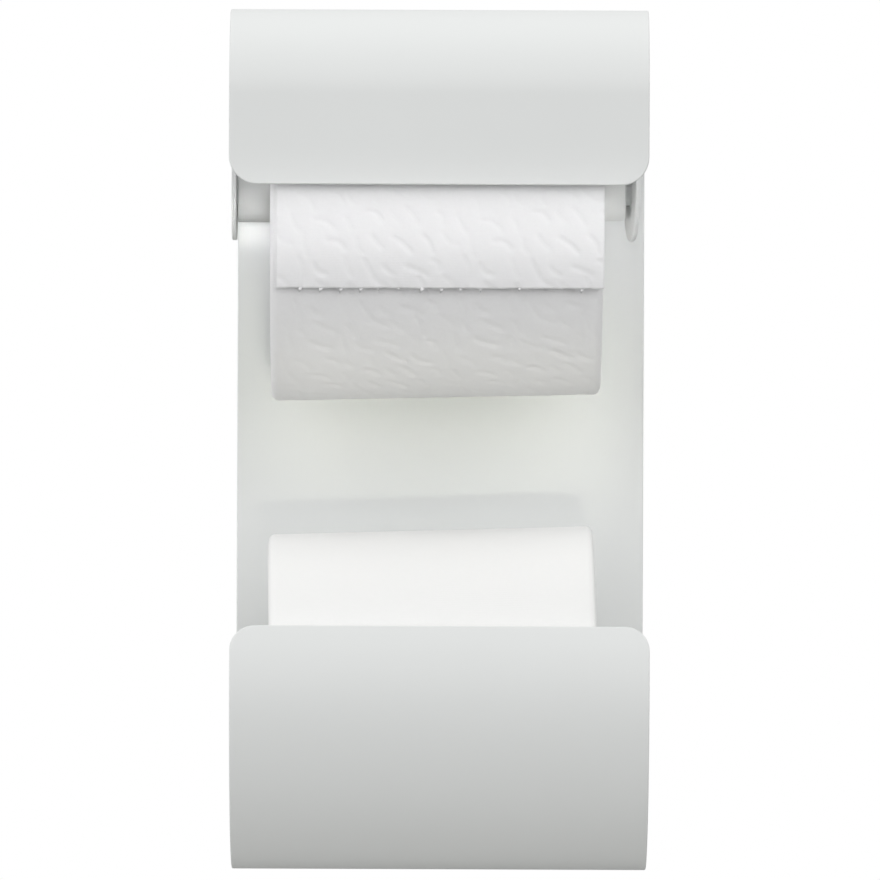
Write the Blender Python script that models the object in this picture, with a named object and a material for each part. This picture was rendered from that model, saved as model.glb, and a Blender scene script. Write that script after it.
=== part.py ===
"""Wall-mounted toilet roll holder: a hood over the roll in use, a back panel, and a tray with a spare roll.

Frame: the wall is the plane Y = 0 and the front looks towards -Y. X runs to the right, as seen from the
front, and +Z is up. The origin is the centre of the back panel's wall face, at mid-height.
"""

import math

import bmesh
import bpy
from mathutils import Euler, Vector

MM = 0.001

# The rolls, which the holder is sized round
ROLL_WIDTH = 100 * MM
ROLL_RADIUS = 54 * MM
CORE_BORE_RADIUS = 21 * MM
CORE_WALL = 1 * MM
PAPER_EDGE_RADIUS = 1.5 * MM
ROLL_SIDE_OFFSET = 1.4 * MM
ROLL_TILT = math.radians(1.3)
SPARE_NARROWER = 1.3 * MM
SPARE_THINNER = 3.9 * MM
SPARE_SIDE_OFFSET = 1.5 * MM
SPARE_TILT = math.radians(1.7)
TAIL_TRIM = 0.7 * MM
TAIL_DROP = 21.3 * MM
TAIL_WRAP = math.radians(14)
TAIL_THICKNESS = 0.5 * MM
TAIL_SIDE_OFFSET = 0.3 * MM

# Room round the rolls
ROLL_SIDE_ROOM = 13 * MM
ROLL_REAR_ROOM = 1.5 * MM
ROLL_FRONT_ROOM = 2.5 * MM
ROLL_TOP_ROOM = 0.5 * MM
ROLLS_APART = 37.5 * MM

# Bent sheets
SHEET_THICKNESS = 1.5 * MM
SEAT_GAP = 0.3 * MM
CUT_OVERRUN = 1 * MM

# Back panel and tray
TRAY_LIP_RISE = 17.7 * MM
TRAY_CORNER_RADIUS = 7.5 * MM
PANEL_CORNER_RADIUS = 2 * MM
WALL_HOLE_RADIUS = 2.5 * MM
WALL_HOLE_MARGIN = 21 * MM
UPPER_HOLE_DROP = 34 * MM
LOWER_HOLE_RISE = 8.5 * MM

# Hood
HOOD_FRONT_HEIGHT = 53.4 * MM
HOOD_FRONT_BEND_RADIUS = 26 * MM
HOOD_REAR_BEND_RADIUS = 3 * MM
HOOD_CORNER_RADIUS = 7 * MM
HOOD_FLANGE_HEIGHT = 22 * MM
HOOD_FLANGE_CORNER_RADIUS = 3 * MM
HOOD_SHIFT = 0.7 * MM

# Weld studs, washers and nuts
STUD_RADIUS = 2 * MM
STUD_TIP = 0.5 * MM
WASHER_RADIUS = 4.5 * MM
WIDE_WASHER_RADIUS = 6.5 * MM
WASHER_THICKNESS = 0.8 * MM
NUT_ACROSS_FLATS = 7 * MM
NUT_HEIGHT = 2.4 * MM
HOOD_STUD_DROP = 12 * MM
HOOD_STUD_MARGIN = 25 * MM
ARM_STUD_MARGIN = 12.5 * MM

# Arm brackets
ARM_THICKNESS = 1.5 * MM
ARM_WIDTH = 31 * MM
ARM_BEND_RADIUS = 3 * MM
FLANGE_MARGIN = 5 * MM
FLANGE_CORNER_RADIUS = 3 * MM
RIGHT_ARM_INSET = 1.8 * MM
RIGHT_ARM_TURN = math.radians(6)

# Spindle
OUTER_TUBE_RADIUS = 10 * MM
OUTER_TUBE_WALL = 0.6 * MM
INNER_TUBE_WALL = 0.6 * MM
INNER_TUBE_SHOWN = 47 * MM
SPRING_ROOM = 42 * MM
TUBE_END_THICKNESS = 1.5 * MM
TUBE_EDGE = 0.5 * MM
PEG_RADIUS = 4.5 * MM
PEG_RECESS = 0.2 * MM
PEG_CHAMFER = 0.6 * MM
SPRING_WIRE_RADIUS = 0.5 * MM
SPRING_END_PITCH = 1.6 * MM

# Counts
BEND_STEPS = 6
FRONT_BEND_STEPS = 16
TRAY_BEND_STEPS = 40
TRAY_LIP_STEPS = 2
CORNER_STEPS = 6
HOLE_SIDES = 24
TUBE_SIDES = 48
ROLL_SIDES = 72
TAIL_WRAP_STEPS = 8
EDGE_STEPS = 3
SPRING_TURNS = 9
POINTS_PER_TURN = 10

# Sizes that follow from the ones above. A rise is half the height that a tilted roll takes.
SPARE_WIDTH = ROLL_WIDTH - SPARE_NARROWER
SPARE_RADIUS = ROLL_RADIUS - SPARE_THINNER
TAIL_WIDTH = ROLL_WIDTH - 2 * TAIL_TRIM
ROLL_END_RISE = math.sin(ROLL_TILT) * ROLL_WIDTH / 2
ROLL_RISE = math.cos(ROLL_TILT) * ROLL_RADIUS + ROLL_END_RISE
SPARE_RISE = math.cos(SPARE_TILT) * SPARE_RADIUS + math.sin(SPARE_TILT) * SPARE_WIDTH / 2
NUT_STACK = WASHER_THICKNESS + NUT_HEIGHT + STUD_TIP + 3 * SEAT_GAP
HOOD_STACK = SHEET_THICKNESS + ARM_THICKNESS + NUT_STACK
SHEET_WIDTH = ROLL_WIDTH + 2 * ROLL_SIDE_ROOM
TOTAL_DEPTH = 2 * SHEET_THICKNESS + ROLL_REAR_ROOM + 2 * ROLL_RADIUS + ROLL_FRONT_ROOM
TOTAL_HEIGHT = (
    HOOD_STACK + ROLL_TOP_ROOM + 2 * ROLL_RISE + ROLLS_APART + 2 * SPARE_RISE + SEAT_GAP + SHEET_THICKNESS
)

# Places that follow from the sizes
TOP = TOTAL_HEIGHT / 2
BOTTOM = -TOTAL_HEIGHT / 2
TRAY_BEND_Z = BOTTOM + TOTAL_DEPTH / 2
HOOD_REAR = -SHEET_THICKNESS - SEAT_GAP
HOOD_UNDERSIDE = TOP - SHEET_THICKNESS
ROLL_Z = TOP - HOOD_STACK - ROLL_TOP_ROOM - ROLL_RISE
SPINDLE_Y = -SHEET_THICKNESS - ROLL_REAR_ROOM - ROLL_RADIUS
SPINDLE_Z = (
    ROLL_Z + CORE_BORE_RADIUS / math.cos(ROLL_TILT) - ROLL_END_RISE - SEAT_GAP - OUTER_TUBE_RADIUS
)
HOOD_LEFT = -SHEET_WIDTH / 2 - HOOD_SHIFT
HOOD_RIGHT = SHEET_WIDTH / 2 - HOOD_SHIFT
LEFT_ARM_X = HOOD_LEFT + ARM_THICKNESS / 2
TURN_SINE = math.sin(RIGHT_ARM_TURN)
TURN_COSINE = math.cos(RIGHT_ARM_TURN)
TURN_TANGENT = math.tan(RIGHT_ARM_TURN)
RIGHT_ARM_X = (
    HOOD_RIGHT - RIGHT_ARM_INSET - TURN_COSINE * ARM_THICKNESS / 2 - TURN_SINE * ARM_WIDTH / 2
)
INNER_TUBE_RADIUS = OUTER_TUBE_RADIUS - OUTER_TUBE_WALL - SEAT_GAP
OUTER_TUBE_START = LEFT_ARM_X + ARM_THICKNESS / 2 + SEAT_GAP
INNER_TUBE_END = (
    RIGHT_ARM_X - ARM_THICKNESS / 2 / TURN_COSINE - TURN_TANGENT * INNER_TUBE_RADIUS - SEAT_GAP
)
WALL_HOLE_X = SHEET_WIDTH / 2 - WALL_HOLE_MARGIN
HOOD_STUD_X = SHEET_WIDTH / 2 - HOOD_STUD_MARGIN
ARM_STUD_LEFT = HOOD_LEFT + ARM_STUD_MARGIN
ARM_STUD_RIGHT = HOOD_RIGHT - ARM_STUD_MARGIN


def clear_scene():
    """Remove every object that the scene starts with."""
    for old in list(bpy.data.objects):
        bpy.data.objects.remove(old)


def make_material(name, colour, roughness, metallic=0.0):
    """Return a Principled material of one colour."""
    material = bpy.data.materials.new(name)
    material.use_nodes = True
    shader = material.node_tree.nodes["Principled BSDF"]
    shader.inputs["Base Color"].default_value = (*colour, 1.0)
    shader.inputs["Roughness"].default_value = roughness
    shader.inputs["Metallic"].default_value = metallic
    return material


def add_object(name, bm, material, location=(0, 0, 0), rotation=(0, 0, 0)):
    """Turn a bmesh into an object whose round stretches are shaded smooth."""
    bmesh.ops.recalc_face_normals(bm, faces=bm.faces)
    mesh = bpy.data.meshes.new(name)
    bm.to_mesh(mesh)
    bm.free()
    mesh.shade_smooth()
    mesh.set_sharp_from_angle(angle=math.radians(35))
    thing = bpy.data.objects.new(name, mesh)
    thing.location = location
    thing.rotation_euler = rotation
    if material is not None:
        mesh.materials.append(material)
    bpy.context.collection.objects.link(thing)
    return thing


def add_boolean(target, other, operation):
    """Cut other out of target, or join it to target. The other object stays as a guide."""
    other.hide_render = True
    other.display_type = "WIRE"
    modifier = target.modifiers.new(other.name, "BOOLEAN")
    modifier.operation = operation
    modifier.object = other


# Outlines in a plane

def circle(centre, radius, count):
    """Points round a circle."""
    angles = (math.tau * index / count for index in range(count))
    return [(centre[0] + radius * math.cos(a), centre[1] + radius * math.sin(a)) for a in angles]


def slot(start, end, radius, count):
    """Points round a slot along the second axis, between two end centres on it."""
    half = count // 2
    outline = []
    for centre, first in ((end, 0.0), (start, math.pi)):
        for index in range(half + 1):
            angle = first + math.pi * index / half
            outline.append((radius * math.cos(angle), centre + radius * math.sin(angle)))
    return outline


def hexagon(across_flats, count):
    """Points round a hexagon, count in all and a multiple of six."""
    outline = []
    for index in range(count):
        angle = math.tau * index / count
        from_flat = (angle + math.pi / 6) % (math.pi / 3) - math.pi / 6
        radius = across_flats / 2 / math.cos(from_flat)
        outline.append((radius * math.cos(angle), radius * math.sin(angle)))
    return outline


def prism(outline, low, high, bm=None):
    """A solid that fills an outline from low to high along the third axis, in bm or in a new mesh."""
    if bm is None:
        bm = bmesh.new()
    verts = [bm.verts.new((x, y, low)) for x, y in outline]
    face = bm.faces.new(verts)
    lifted = bmesh.ops.extrude_face_region(bm, geom=[face])
    top = [item for item in lifted["geom"] if isinstance(item, bmesh.types.BMVert)]
    bmesh.ops.translate(bm, verts=top, vec=(0, 0, high - low))
    return bm


def ring_prism(outer, inner, low, high):
    """A solid between two outlines that have the same number of points."""
    bm = bmesh.new()
    rows = [
        [bm.verts.new((x, y, level)) for x, y in outline]
        for outline, level in ((outer, low), (outer, high), (inner, high), (inner, low))
    ]
    count = len(outer)
    for row, following in zip(rows, rows[1:] + rows[:1]):
        for index in range(count):
            after = (index + 1) % count
            bm.faces.new((row[index], row[after], following[after], following[index]))
    return bm


# Bent sheets

def straight_run(start, end, normal, start_corner=0.0, end_corner=0.0):
    """Stations (place, normal) along a straight run, closer together where its end has round corners."""
    start = Vector(start)
    end = Vector(end)
    length = (end - start).length
    direction = (end - start) / length
    places = [0.0, length]
    for step in range(1, CORNER_STEPS + 1):
        reach = 1 - math.cos(math.pi / 2 * step / CORNER_STEPS)
        if start_corner:
            places.append(start_corner * reach)
        if end_corner:
            places.append(length - end_corner * reach)
    return [(start + direction * place, Vector(normal)) for place in sorted(places)]


def bend_station(centre, radius, angle):
    """The station at one angle of a bend."""
    normal = Vector((math.cos(angle), math.sin(angle)))
    return (Vector(centre) + radius * normal, normal)


def bend(centre, radius, start_angle, end_angle, steps):
    """Stations round a bend, without its two ends, which the straight runs beside it give."""
    angles = (start_angle + (end_angle - start_angle) * step / steps for step in range(1, steps))
    return [bend_station(centre, radius, angle) for angle in angles]


def bend_to_edge(centre, radius, start_angle, end_angle, steps, corner):
    """Stations round a bend that runs on to the sheet's edge, closer together at its round corners."""
    corner_turn = math.copysign(corner / radius, end_angle - start_angle)
    plain_turn = end_angle - corner_turn - start_angle
    angles = [start_angle + plain_turn * step / steps for step in range(steps)]
    for step in range(CORNER_STEPS, -1, -1):
        angles.append(end_angle - corner_turn * (1 - math.cos(math.pi / 2 * step / CORNER_STEPS)))
    return [bend_station(centre, radius, angle) for angle in angles]


def corner_width(half_width, radius, distance):
    """Half the sheet's width at a distance from an end with round corners."""
    if distance >= radius:
        return half_width
    rest = radius - distance
    return half_width - radius + math.sqrt(max(radius * radius - rest * rest, 0.0))


def bent_sheet(stations, half_width, thickness, start_corner, end_corner):
    """A sheet of even thickness under a path. X runs across it, and the normals point to its outer side."""
    travelled = [0.0]
    for (place, _), (following, _) in zip(stations, stations[1:]):
        travelled.append(travelled[-1] + (following - place).length)
    bm = bmesh.new()
    rows = []
    for (place, normal), distance in zip(stations, travelled):
        half = min(
            corner_width(half_width, start_corner, distance),
            corner_width(half_width, end_corner, travelled[-1] - distance),
        )
        inside = place - normal * thickness
        rows.append(
            [
                bm.verts.new((-half, *place)),
                bm.verts.new((half, *place)),
                bm.verts.new((half, *inside)),
                bm.verts.new((-half, *inside)),
            ]
        )
    bm.faces.new(rows[0])
    bm.faces.new(rows[-1])
    for row, following in zip(rows, rows[1:]):
        for index in range(4):
            after = (index + 1) % 4
            bm.faces.new((row[index], row[after], following[after], following[index]))
    bmesh.ops.remove_doubles(bm, verts=bm.verts, dist=thickness / 1000)
    return bm


# Turned pieces

def turned(profile, sides):
    """Turn a profile of (x, radius) points about the X axis."""
    bm = bmesh.new()
    verts = [bm.verts.new((x, 0, radius)) for x, radius in profile]
    edges = [bm.edges.new(pair) for pair in zip(verts, verts[1:])]
    if profile[0][1] > 0:
        edges.append(bm.edges.new((verts[-1], verts[0])))
    bmesh.ops.spin(
        bm, geom=verts + edges, cent=(0, 0, 0), axis=(1, 0, 0), angle=math.tau, steps=sides
    )
    bmesh.ops.remove_doubles(bm, verts=bm.verts, dist=SEAT_GAP / 1000)
    return bm


def make_back_panel(material):
    """The wall panel, which runs on into the round tray, whose lip leans in a little over the spare roll."""
    radius = TOTAL_DEPTH / 2
    centre = (-radius, TRAY_BEND_Z)
    lip_angle = -math.pi - math.asin(TRAY_LIP_RISE / radius)
    stations = straight_run((0, TOP), (0, TRAY_BEND_Z), (1, 0), start_corner=PANEL_CORNER_RADIUS)
    stations += bend(centre, radius, 0, -math.pi, TRAY_BEND_STEPS)
    stations += bend_to_edge(centre, radius, -math.pi, lip_angle, TRAY_LIP_STEPS, TRAY_CORNER_RADIUS)
    sheet = bent_sheet(
        stations, SHEET_WIDTH / 2, SHEET_THICKNESS, PANEL_CORNER_RADIUS, TRAY_CORNER_RADIUS
    )
    panel = add_object("back_panel", sheet, material)
    holes = bmesh.new()
    for x in (-WALL_HOLE_X, WALL_HOLE_X):
        for z in (TOP - UPPER_HOLE_DROP, TRAY_BEND_Z + LOWER_HOLE_RISE):
            outline = circle((x, z), WALL_HOLE_RADIUS, HOLE_SIDES)
            prism(outline, -CUT_OVERRUN, SHEET_THICKNESS + CUT_OVERRUN, holes)
    # Turned about X by 90 degrees, the outline's second axis points up and the prism runs towards -Y
    add_boolean(panel, add_object("wall_holes", holes, None, rotation=(math.pi / 2, 0, 0)), "DIFFERENCE")
    studs = bmesh.new()
    for x in (-HOOD_STUD_X, HOOD_STUD_X):
        outline = circle((x, TOP - HOOD_STUD_DROP), STUD_RADIUS, HOLE_SIDES)
        prism(outline, SHEET_THICKNESS / 2, 2 * SHEET_THICKNESS + NUT_STACK, studs)
    add_boolean(panel, add_object("hood_studs", studs, None, rotation=(math.pi / 2, 0, 0)), "UNION")


def make_hood(material):
    """The hood: a rear flange against the panel, the top, the round front bend and the straight front."""
    flange_z = TOP - HOOD_FLANGE_HEIGHT
    lip_z = TOP - HOOD_FRONT_HEIGHT
    rear_bend = (HOOD_REAR - HOOD_REAR_BEND_RADIUS, TOP - HOOD_REAR_BEND_RADIUS)
    front_bend = (-TOTAL_DEPTH + HOOD_FRONT_BEND_RADIUS, TOP - HOOD_FRONT_BEND_RADIUS)
    stations = straight_run(
        (HOOD_REAR, flange_z), (HOOD_REAR, rear_bend[1]), (1, 0), start_corner=HOOD_FLANGE_CORNER_RADIUS
    )
    stations += bend(rear_bend, HOOD_REAR_BEND_RADIUS, 0, math.pi / 2, BEND_STEPS)
    stations += straight_run((rear_bend[0], TOP), (front_bend[0], TOP), (0, 1))
    stations += bend(front_bend, HOOD_FRONT_BEND_RADIUS, math.pi / 2, math.pi, FRONT_BEND_STEPS)
    stations += straight_run(
        (-TOTAL_DEPTH, front_bend[1]), (-TOTAL_DEPTH, lip_z), (-1, 0), end_corner=HOOD_CORNER_RADIUS
    )
    sheet = bent_sheet(
        stations, SHEET_WIDTH / 2, SHEET_THICKNESS, HOOD_FLANGE_CORNER_RADIUS, HOOD_CORNER_RADIUS
    )
    hood = add_object("hood_cover", sheet, material, location=(-HOOD_SHIFT, 0, 0))
    holes = bmesh.new()
    hole_radius = STUD_RADIUS + HOOD_SHIFT + SEAT_GAP
    for x in (-HOOD_STUD_X, HOOD_STUD_X):
        outline = circle((x - HOOD_SHIFT, TOP - HOOD_STUD_DROP), hole_radius, HOLE_SIDES)
        prism(outline, -HOOD_REAR - CUT_OVERRUN, -HOOD_REAR + SHEET_THICKNESS + CUT_OVERRUN, holes)
    add_boolean(hood, add_object("flange_holes", holes, None, rotation=(math.pi / 2, 0, 0)), "DIFFERENCE")
    studs = bmesh.new()
    for x in (ARM_STUD_LEFT, ARM_STUD_RIGHT):
        outline = circle((x, SPINDLE_Y), STUD_RADIUS, HOLE_SIDES)
        prism(outline, TOP - HOOD_STACK, TOP - SHEET_THICKNESS / 2, studs)
    add_boolean(hood, add_object("arm_studs", studs, None), "UNION")


def stud_in_bracket(stud_x, arm_x, turn):
    """Where a stud stands in a bracket's own plane: (sideways, inwards from the arm's middle)."""
    inwards = abs(stud_x - arm_x)
    return (inwards * math.sin(turn), inwards * math.cos(turn))


def make_arm_brackets(material):
    """Two strap brackets under the hood's top. The right one is turned a little about the vertical."""
    left_place = stud_in_bracket(ARM_STUD_LEFT, LEFT_ARM_X, 0.0)
    right_place = stud_in_bracket(ARM_STUD_RIGHT, RIGHT_ARM_X, RIGHT_ARM_TURN)
    slot_radius = STUD_RADIUS + SEAT_GAP + right_place[0]
    slot_start = min(left_place[1], right_place[1])
    slot_end = max(left_place[1], right_place[1])
    flange_reach = slot_end + slot_radius + FLANGE_MARGIN
    outer = ARM_THICKNESS / 2
    flange_top = HOOD_UNDERSIDE - SEAT_GAP - SPINDLE_Z
    hole_radius = (PEG_RADIUS + TURN_TANGENT * ARM_THICKNESS / 2) / TURN_COSINE + SEAT_GAP
    tip = ARM_WIDTH / 2
    for name, x, turn in (
        ("left_arm", LEFT_ARM_X, math.pi / 2),
        ("right_arm", RIGHT_ARM_X, RIGHT_ARM_TURN - math.pi / 2),
    ):
        bend_centre = (outer - ARM_BEND_RADIUS, flange_top - ARM_BEND_RADIUS)
        stations = straight_run((outer, -tip), (outer, bend_centre[1]), (1, 0), start_corner=tip)
        stations += bend(bend_centre, ARM_BEND_RADIUS, 0, math.pi / 2, BEND_STEPS)
        stations += straight_run(
            (bend_centre[0], flange_top), (-flange_reach, flange_top), (0, 1), end_corner=FLANGE_CORNER_RADIUS
        )
        place = {"location": (x, SPINDLE_Y, SPINDLE_Z), "rotation": (0, 0, turn)}
        strap = bent_sheet(stations, ARM_WIDTH / 2, ARM_THICKNESS, tip, FLANGE_CORNER_RADIUS)
        arm = add_object(name, strap, material, **place)
        peg_hole = prism(
            circle((0, 0), hole_radius, HOLE_SIDES),
            -ARM_THICKNESS / 2 - CUT_OVERRUN,
            ARM_THICKNESS / 2 + CUT_OVERRUN,
        )
        bmesh.ops.rotate(
            peg_hole, verts=peg_hole.verts, matrix=Euler((math.pi / 2, 0, 0)).to_matrix()
        )
        add_boolean(arm, add_object(name + "_peg_hole", peg_hole, None, **place), "DIFFERENCE")
        stud_slot = prism(
            slot(-slot_end, -slot_start, slot_radius, HOLE_SIDES),
            flange_top - ARM_THICKNESS - CUT_OVERRUN,
            flange_top + CUT_OVERRUN,
        )
        add_boolean(arm, add_object(name + "_stud_slot", stud_slot, None, **place), "DIFFERENCE")


def make_fasteners(material):
    """A washer and a nut on each of the four studs."""
    bore = STUD_RADIUS + SEAT_GAP
    washer_low = SEAT_GAP
    washer_high = washer_low + WASHER_THICKNESS
    nut_low = washer_high + SEAT_GAP
    nut_high = nut_low + NUT_HEIGHT
    hood_seat = HOOD_REAR - SHEET_THICKNESS
    arm_seat = HOOD_UNDERSIDE - SEAT_GAP - ARM_THICKNESS
    places = []
    for side, x in (("left", -HOOD_STUD_X), ("right", HOOD_STUD_X)):
        places.append(
            ("hood", side, (x, hood_seat, TOP - HOOD_STUD_DROP), (math.pi / 2, 0, 0), WASHER_RADIUS)
        )
    for side, x in (("left", ARM_STUD_LEFT), ("right", ARM_STUD_RIGHT)):
        places.append(("arm", side, (x, SPINDLE_Y, arm_seat), (math.pi, 0, 0), WIDE_WASHER_RADIUS))
    for group, side, location, rotation, washer_radius in places:
        hole = circle((0, 0), bore, HOLE_SIDES)
        washer = ring_prism(circle((0, 0), washer_radius, HOLE_SIDES), hole, washer_low, washer_high)
        add_object(f"{group}_washer_{side}", washer, material, location, rotation)
        nut = ring_prism(hexagon(NUT_ACROSS_FLATS, HOLE_SIDES), hole, nut_low, nut_high)
        add_object(f"{group}_nut_{side}", nut, material, location, rotation)


def make_spindle(tube_material, spring_material):
    """The sprung spindle: the thicker tube at the left slides over the thinner one at the right."""
    place = (0, SPINDLE_Y, SPINDLE_Z)
    start = OUTER_TUBE_START
    peg_start = HOOD_LEFT + PEG_RECESS
    mouth = INNER_TUBE_END - INNER_TUBE_SHOWN
    outer_bore = OUTER_TUBE_RADIUS - OUTER_TUBE_WALL
    outer_profile = [
        (peg_start, 0),
        (peg_start, PEG_RADIUS - PEG_CHAMFER),
        (peg_start + PEG_CHAMFER, PEG_RADIUS),
        (start, PEG_RADIUS),
        (start, OUTER_TUBE_RADIUS - TUBE_EDGE),
        (start + TUBE_EDGE, OUTER_TUBE_RADIUS),
        (mouth, OUTER_TUBE_RADIUS),
        (mouth, outer_bore),
        (start + TUBE_END_THICKNESS, outer_bore),
        (start + TUBE_END_THICKNESS, 0),
    ]
    add_object("spindle_outer_tube", turned(outer_profile, TUBE_SIDES), tube_material, place)
    end = INNER_TUBE_END
    peg_end = RIGHT_ARM_X + ARM_THICKNESS / 2 / TURN_COSINE - PEG_RECESS
    rim = start + SPRING_ROOM
    inner_bore = INNER_TUBE_RADIUS - INNER_TUBE_WALL
    inner_profile = [
        (peg_end, 0),
        (peg_end, PEG_RADIUS - PEG_CHAMFER),
        (peg_end - PEG_CHAMFER, PEG_RADIUS),
        (end, PEG_RADIUS),
        (end, INNER_TUBE_RADIUS - TUBE_EDGE),
        (end - TUBE_EDGE, INNER_TUBE_RADIUS),
        (rim, INNER_TUBE_RADIUS),
        (rim, inner_bore),
        (end - TUBE_END_THICKNESS, inner_bore),
        (end - TUBE_END_THICKNESS, 0),
    ]
    add_object("spindle_inner_tube", turned(inner_profile, TUBE_SIDES), tube_material, place)
    spring_radius = (inner_bore + INNER_TUBE_RADIUS) / 2 - SPRING_WIRE_RADIUS / 2
    make_spring(start + TUBE_END_THICKNESS, rim, spring_radius, place, spring_material)


def make_spring(low, high, radius, place, material):
    """A compression spring between two faces, with a close turn at each end. Prints its least gap to itself."""
    first = low + SEAT_GAP + SPRING_WIRE_RADIUS
    last = high - SEAT_GAP - SPRING_WIRE_RADIUS
    open_turns = SPRING_TURNS - 2
    open_pitch = (last - first - 2 * SPRING_END_PITCH) / open_turns
    points = []
    for index in range(SPRING_TURNS * POINTS_PER_TURN + 1):
        turn = index / POINTS_PER_TURN
        opened = min(max(turn - 1, 0), open_turns)
        x = first + (turn - opened) * SPRING_END_PITCH + opened * open_pitch
        points.append(Vector((x, radius * math.cos(math.tau * turn), radius * math.sin(math.tau * turn))))
    apart = POINTS_PER_TURN // 2
    least = min(
        (a - b).length
        for index, a in enumerate(points)
        for b in points[index + apart:]
    )
    print("spring: least gap to itself, mm:", round((least - 2 * SPRING_WIRE_RADIUS) / MM, 2))
    curve = bpy.data.curves.new("spindle_spring", "CURVE")
    curve.dimensions = "3D"
    curve.bevel_depth = SPRING_WIRE_RADIUS
    curve.bevel_resolution = 1
    curve.use_fill_caps = True
    spline = curve.splines.new("POLY")
    spline.points.add(len(points) - 1)
    for point, place_on_wire in zip(spline.points, points):
        point.co = (*place_on_wire, 1)
    curve.materials.append(material)
    spring = bpy.data.objects.new("spindle_spring", curve)
    spring.location = place
    bpy.context.collection.objects.link(spring)


def paper_profile(half_width, radius, bore):
    """Outline of a roll's paper with slightly rounded outer edges."""
    profile = [(-half_width, bore)]
    for side in (-1, 1):
        for step in range(EDGE_STEPS + 1):
            angle = math.pi / 2 * (step if side < 0 else EDGE_STEPS - step) / EDGE_STEPS
            x = side * (half_width - PAPER_EDGE_RADIUS + PAPER_EDGE_RADIUS * math.cos(angle))
            profile.append((x, radius - PAPER_EDGE_RADIUS + PAPER_EDGE_RADIUS * math.sin(angle)))
    profile.append((half_width, bore))
    return profile


def make_roll(prefix, centre, tilt, width, radius, paper, cardboard):
    """A roll of paper on its cardboard core, with its left end lower by the tilt."""
    half = width / 2
    core_radius = CORE_BORE_RADIUS + CORE_WALL
    rotation = (0, -tilt, 0)
    core_profile = [
        (-half, CORE_BORE_RADIUS), (-half, core_radius), (half, core_radius), (half, CORE_BORE_RADIUS)
    ]
    add_object(prefix + "_core", turned(core_profile, ROLL_SIDES), cardboard, centre, rotation)
    profile = paper_profile(half, radius, core_radius + SEAT_GAP)
    add_object(prefix + "_paper", turned(profile, ROLL_SIDES), paper, centre, rotation)


def make_tail(material):
    """The loose end of the paper. It lies on the roll under the hood and hangs from its foremost line.

    Its origin is the line where it leaves the roll's upper side, on which it swings.
    """
    radius = ROLL_RADIUS + SEAT_GAP + TAIL_THICKNESS
    hinge = bend_station((SPINDLE_Y, ROLL_Z), radius, math.pi - TAIL_WRAP)[0]
    centre = Vector((SPINDLE_Y, ROLL_Z)) - hinge
    foremost = centre.x - radius
    stations = [bend_station(centre, radius, math.pi - TAIL_WRAP)]
    stations += bend(centre, radius, math.pi - TAIL_WRAP, math.pi, TAIL_WRAP_STEPS)
    stations += straight_run((foremost, centre.y), (foremost, centre.y - TAIL_DROP), (-1, 0))
    sheet = bent_sheet(stations, TAIL_WIDTH / 2, TAIL_THICKNESS, 0.0, 0.0)
    add_object("paper_tail", sheet, material, (-TAIL_SIDE_OFFSET, hinge.x, hinge.y))


def main():
    """Build every piece."""
    clear_scene()
    coated_steel = make_material("white_powder_coat", (0.80, 0.81, 0.79), 0.45)
    zinc = make_material("zinc_plated_steel", (0.62, 0.62, 0.64), 0.35, 1.0)
    spring_steel = make_material("spring_steel", (0.45, 0.45, 0.47), 0.3, 1.0)
    quilted_paper = make_material("quilted_paper", (0.84, 0.84, 0.86), 0.95)
    plain_paper = make_material("plain_paper", (0.86, 0.86, 0.86), 0.95)
    cardboard = make_material("grey_cardboard", (0.48, 0.44, 0.38), 0.9)
    make_back_panel(coated_steel)
    make_hood(coated_steel)
    make_arm_brackets(coated_steel)
    make_fasteners(zinc)
    make_spindle(coated_steel, spring_steel)
    # The roll in use hangs on the spindle's top, and its left end touches first
    roll_centre = (-ROLL_SIDE_OFFSET, SPINDLE_Y, ROLL_Z)
    make_roll("roll", roll_centre, ROLL_TILT, ROLL_WIDTH, ROLL_RADIUS, quilted_paper, cardboard)
    make_tail(quilted_paper)
    # The spare roll lies on the tray's lowest line
    spare_z = BOTTOM + SHEET_THICKNESS + SEAT_GAP + SPARE_RISE
    spare_centre = (-SPARE_SIDE_OFFSET, -TOTAL_DEPTH / 2, spare_z)
    make_roll("spare", spare_centre, SPARE_TILT, SPARE_WIDTH, SPARE_RADIUS, plain_paper, cardboard)


main()
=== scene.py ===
"""Dress the toilet roll holder: its bent sheets, spindle, rolls and paper, with a camera and studio light."""

import logging
import math
from collections.abc import Callable, Sequence
from dataclasses import dataclass, field
from enum import Enum
from functools import partial

import bmesh
import bpy
import numpy as np
from bmesh.types import BMesh, BMVert
from bpy.types import Material, Mesh, Node, NodeSocket, NodeTree, Object
from mathutils import Euler, Matrix, Vector


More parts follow.
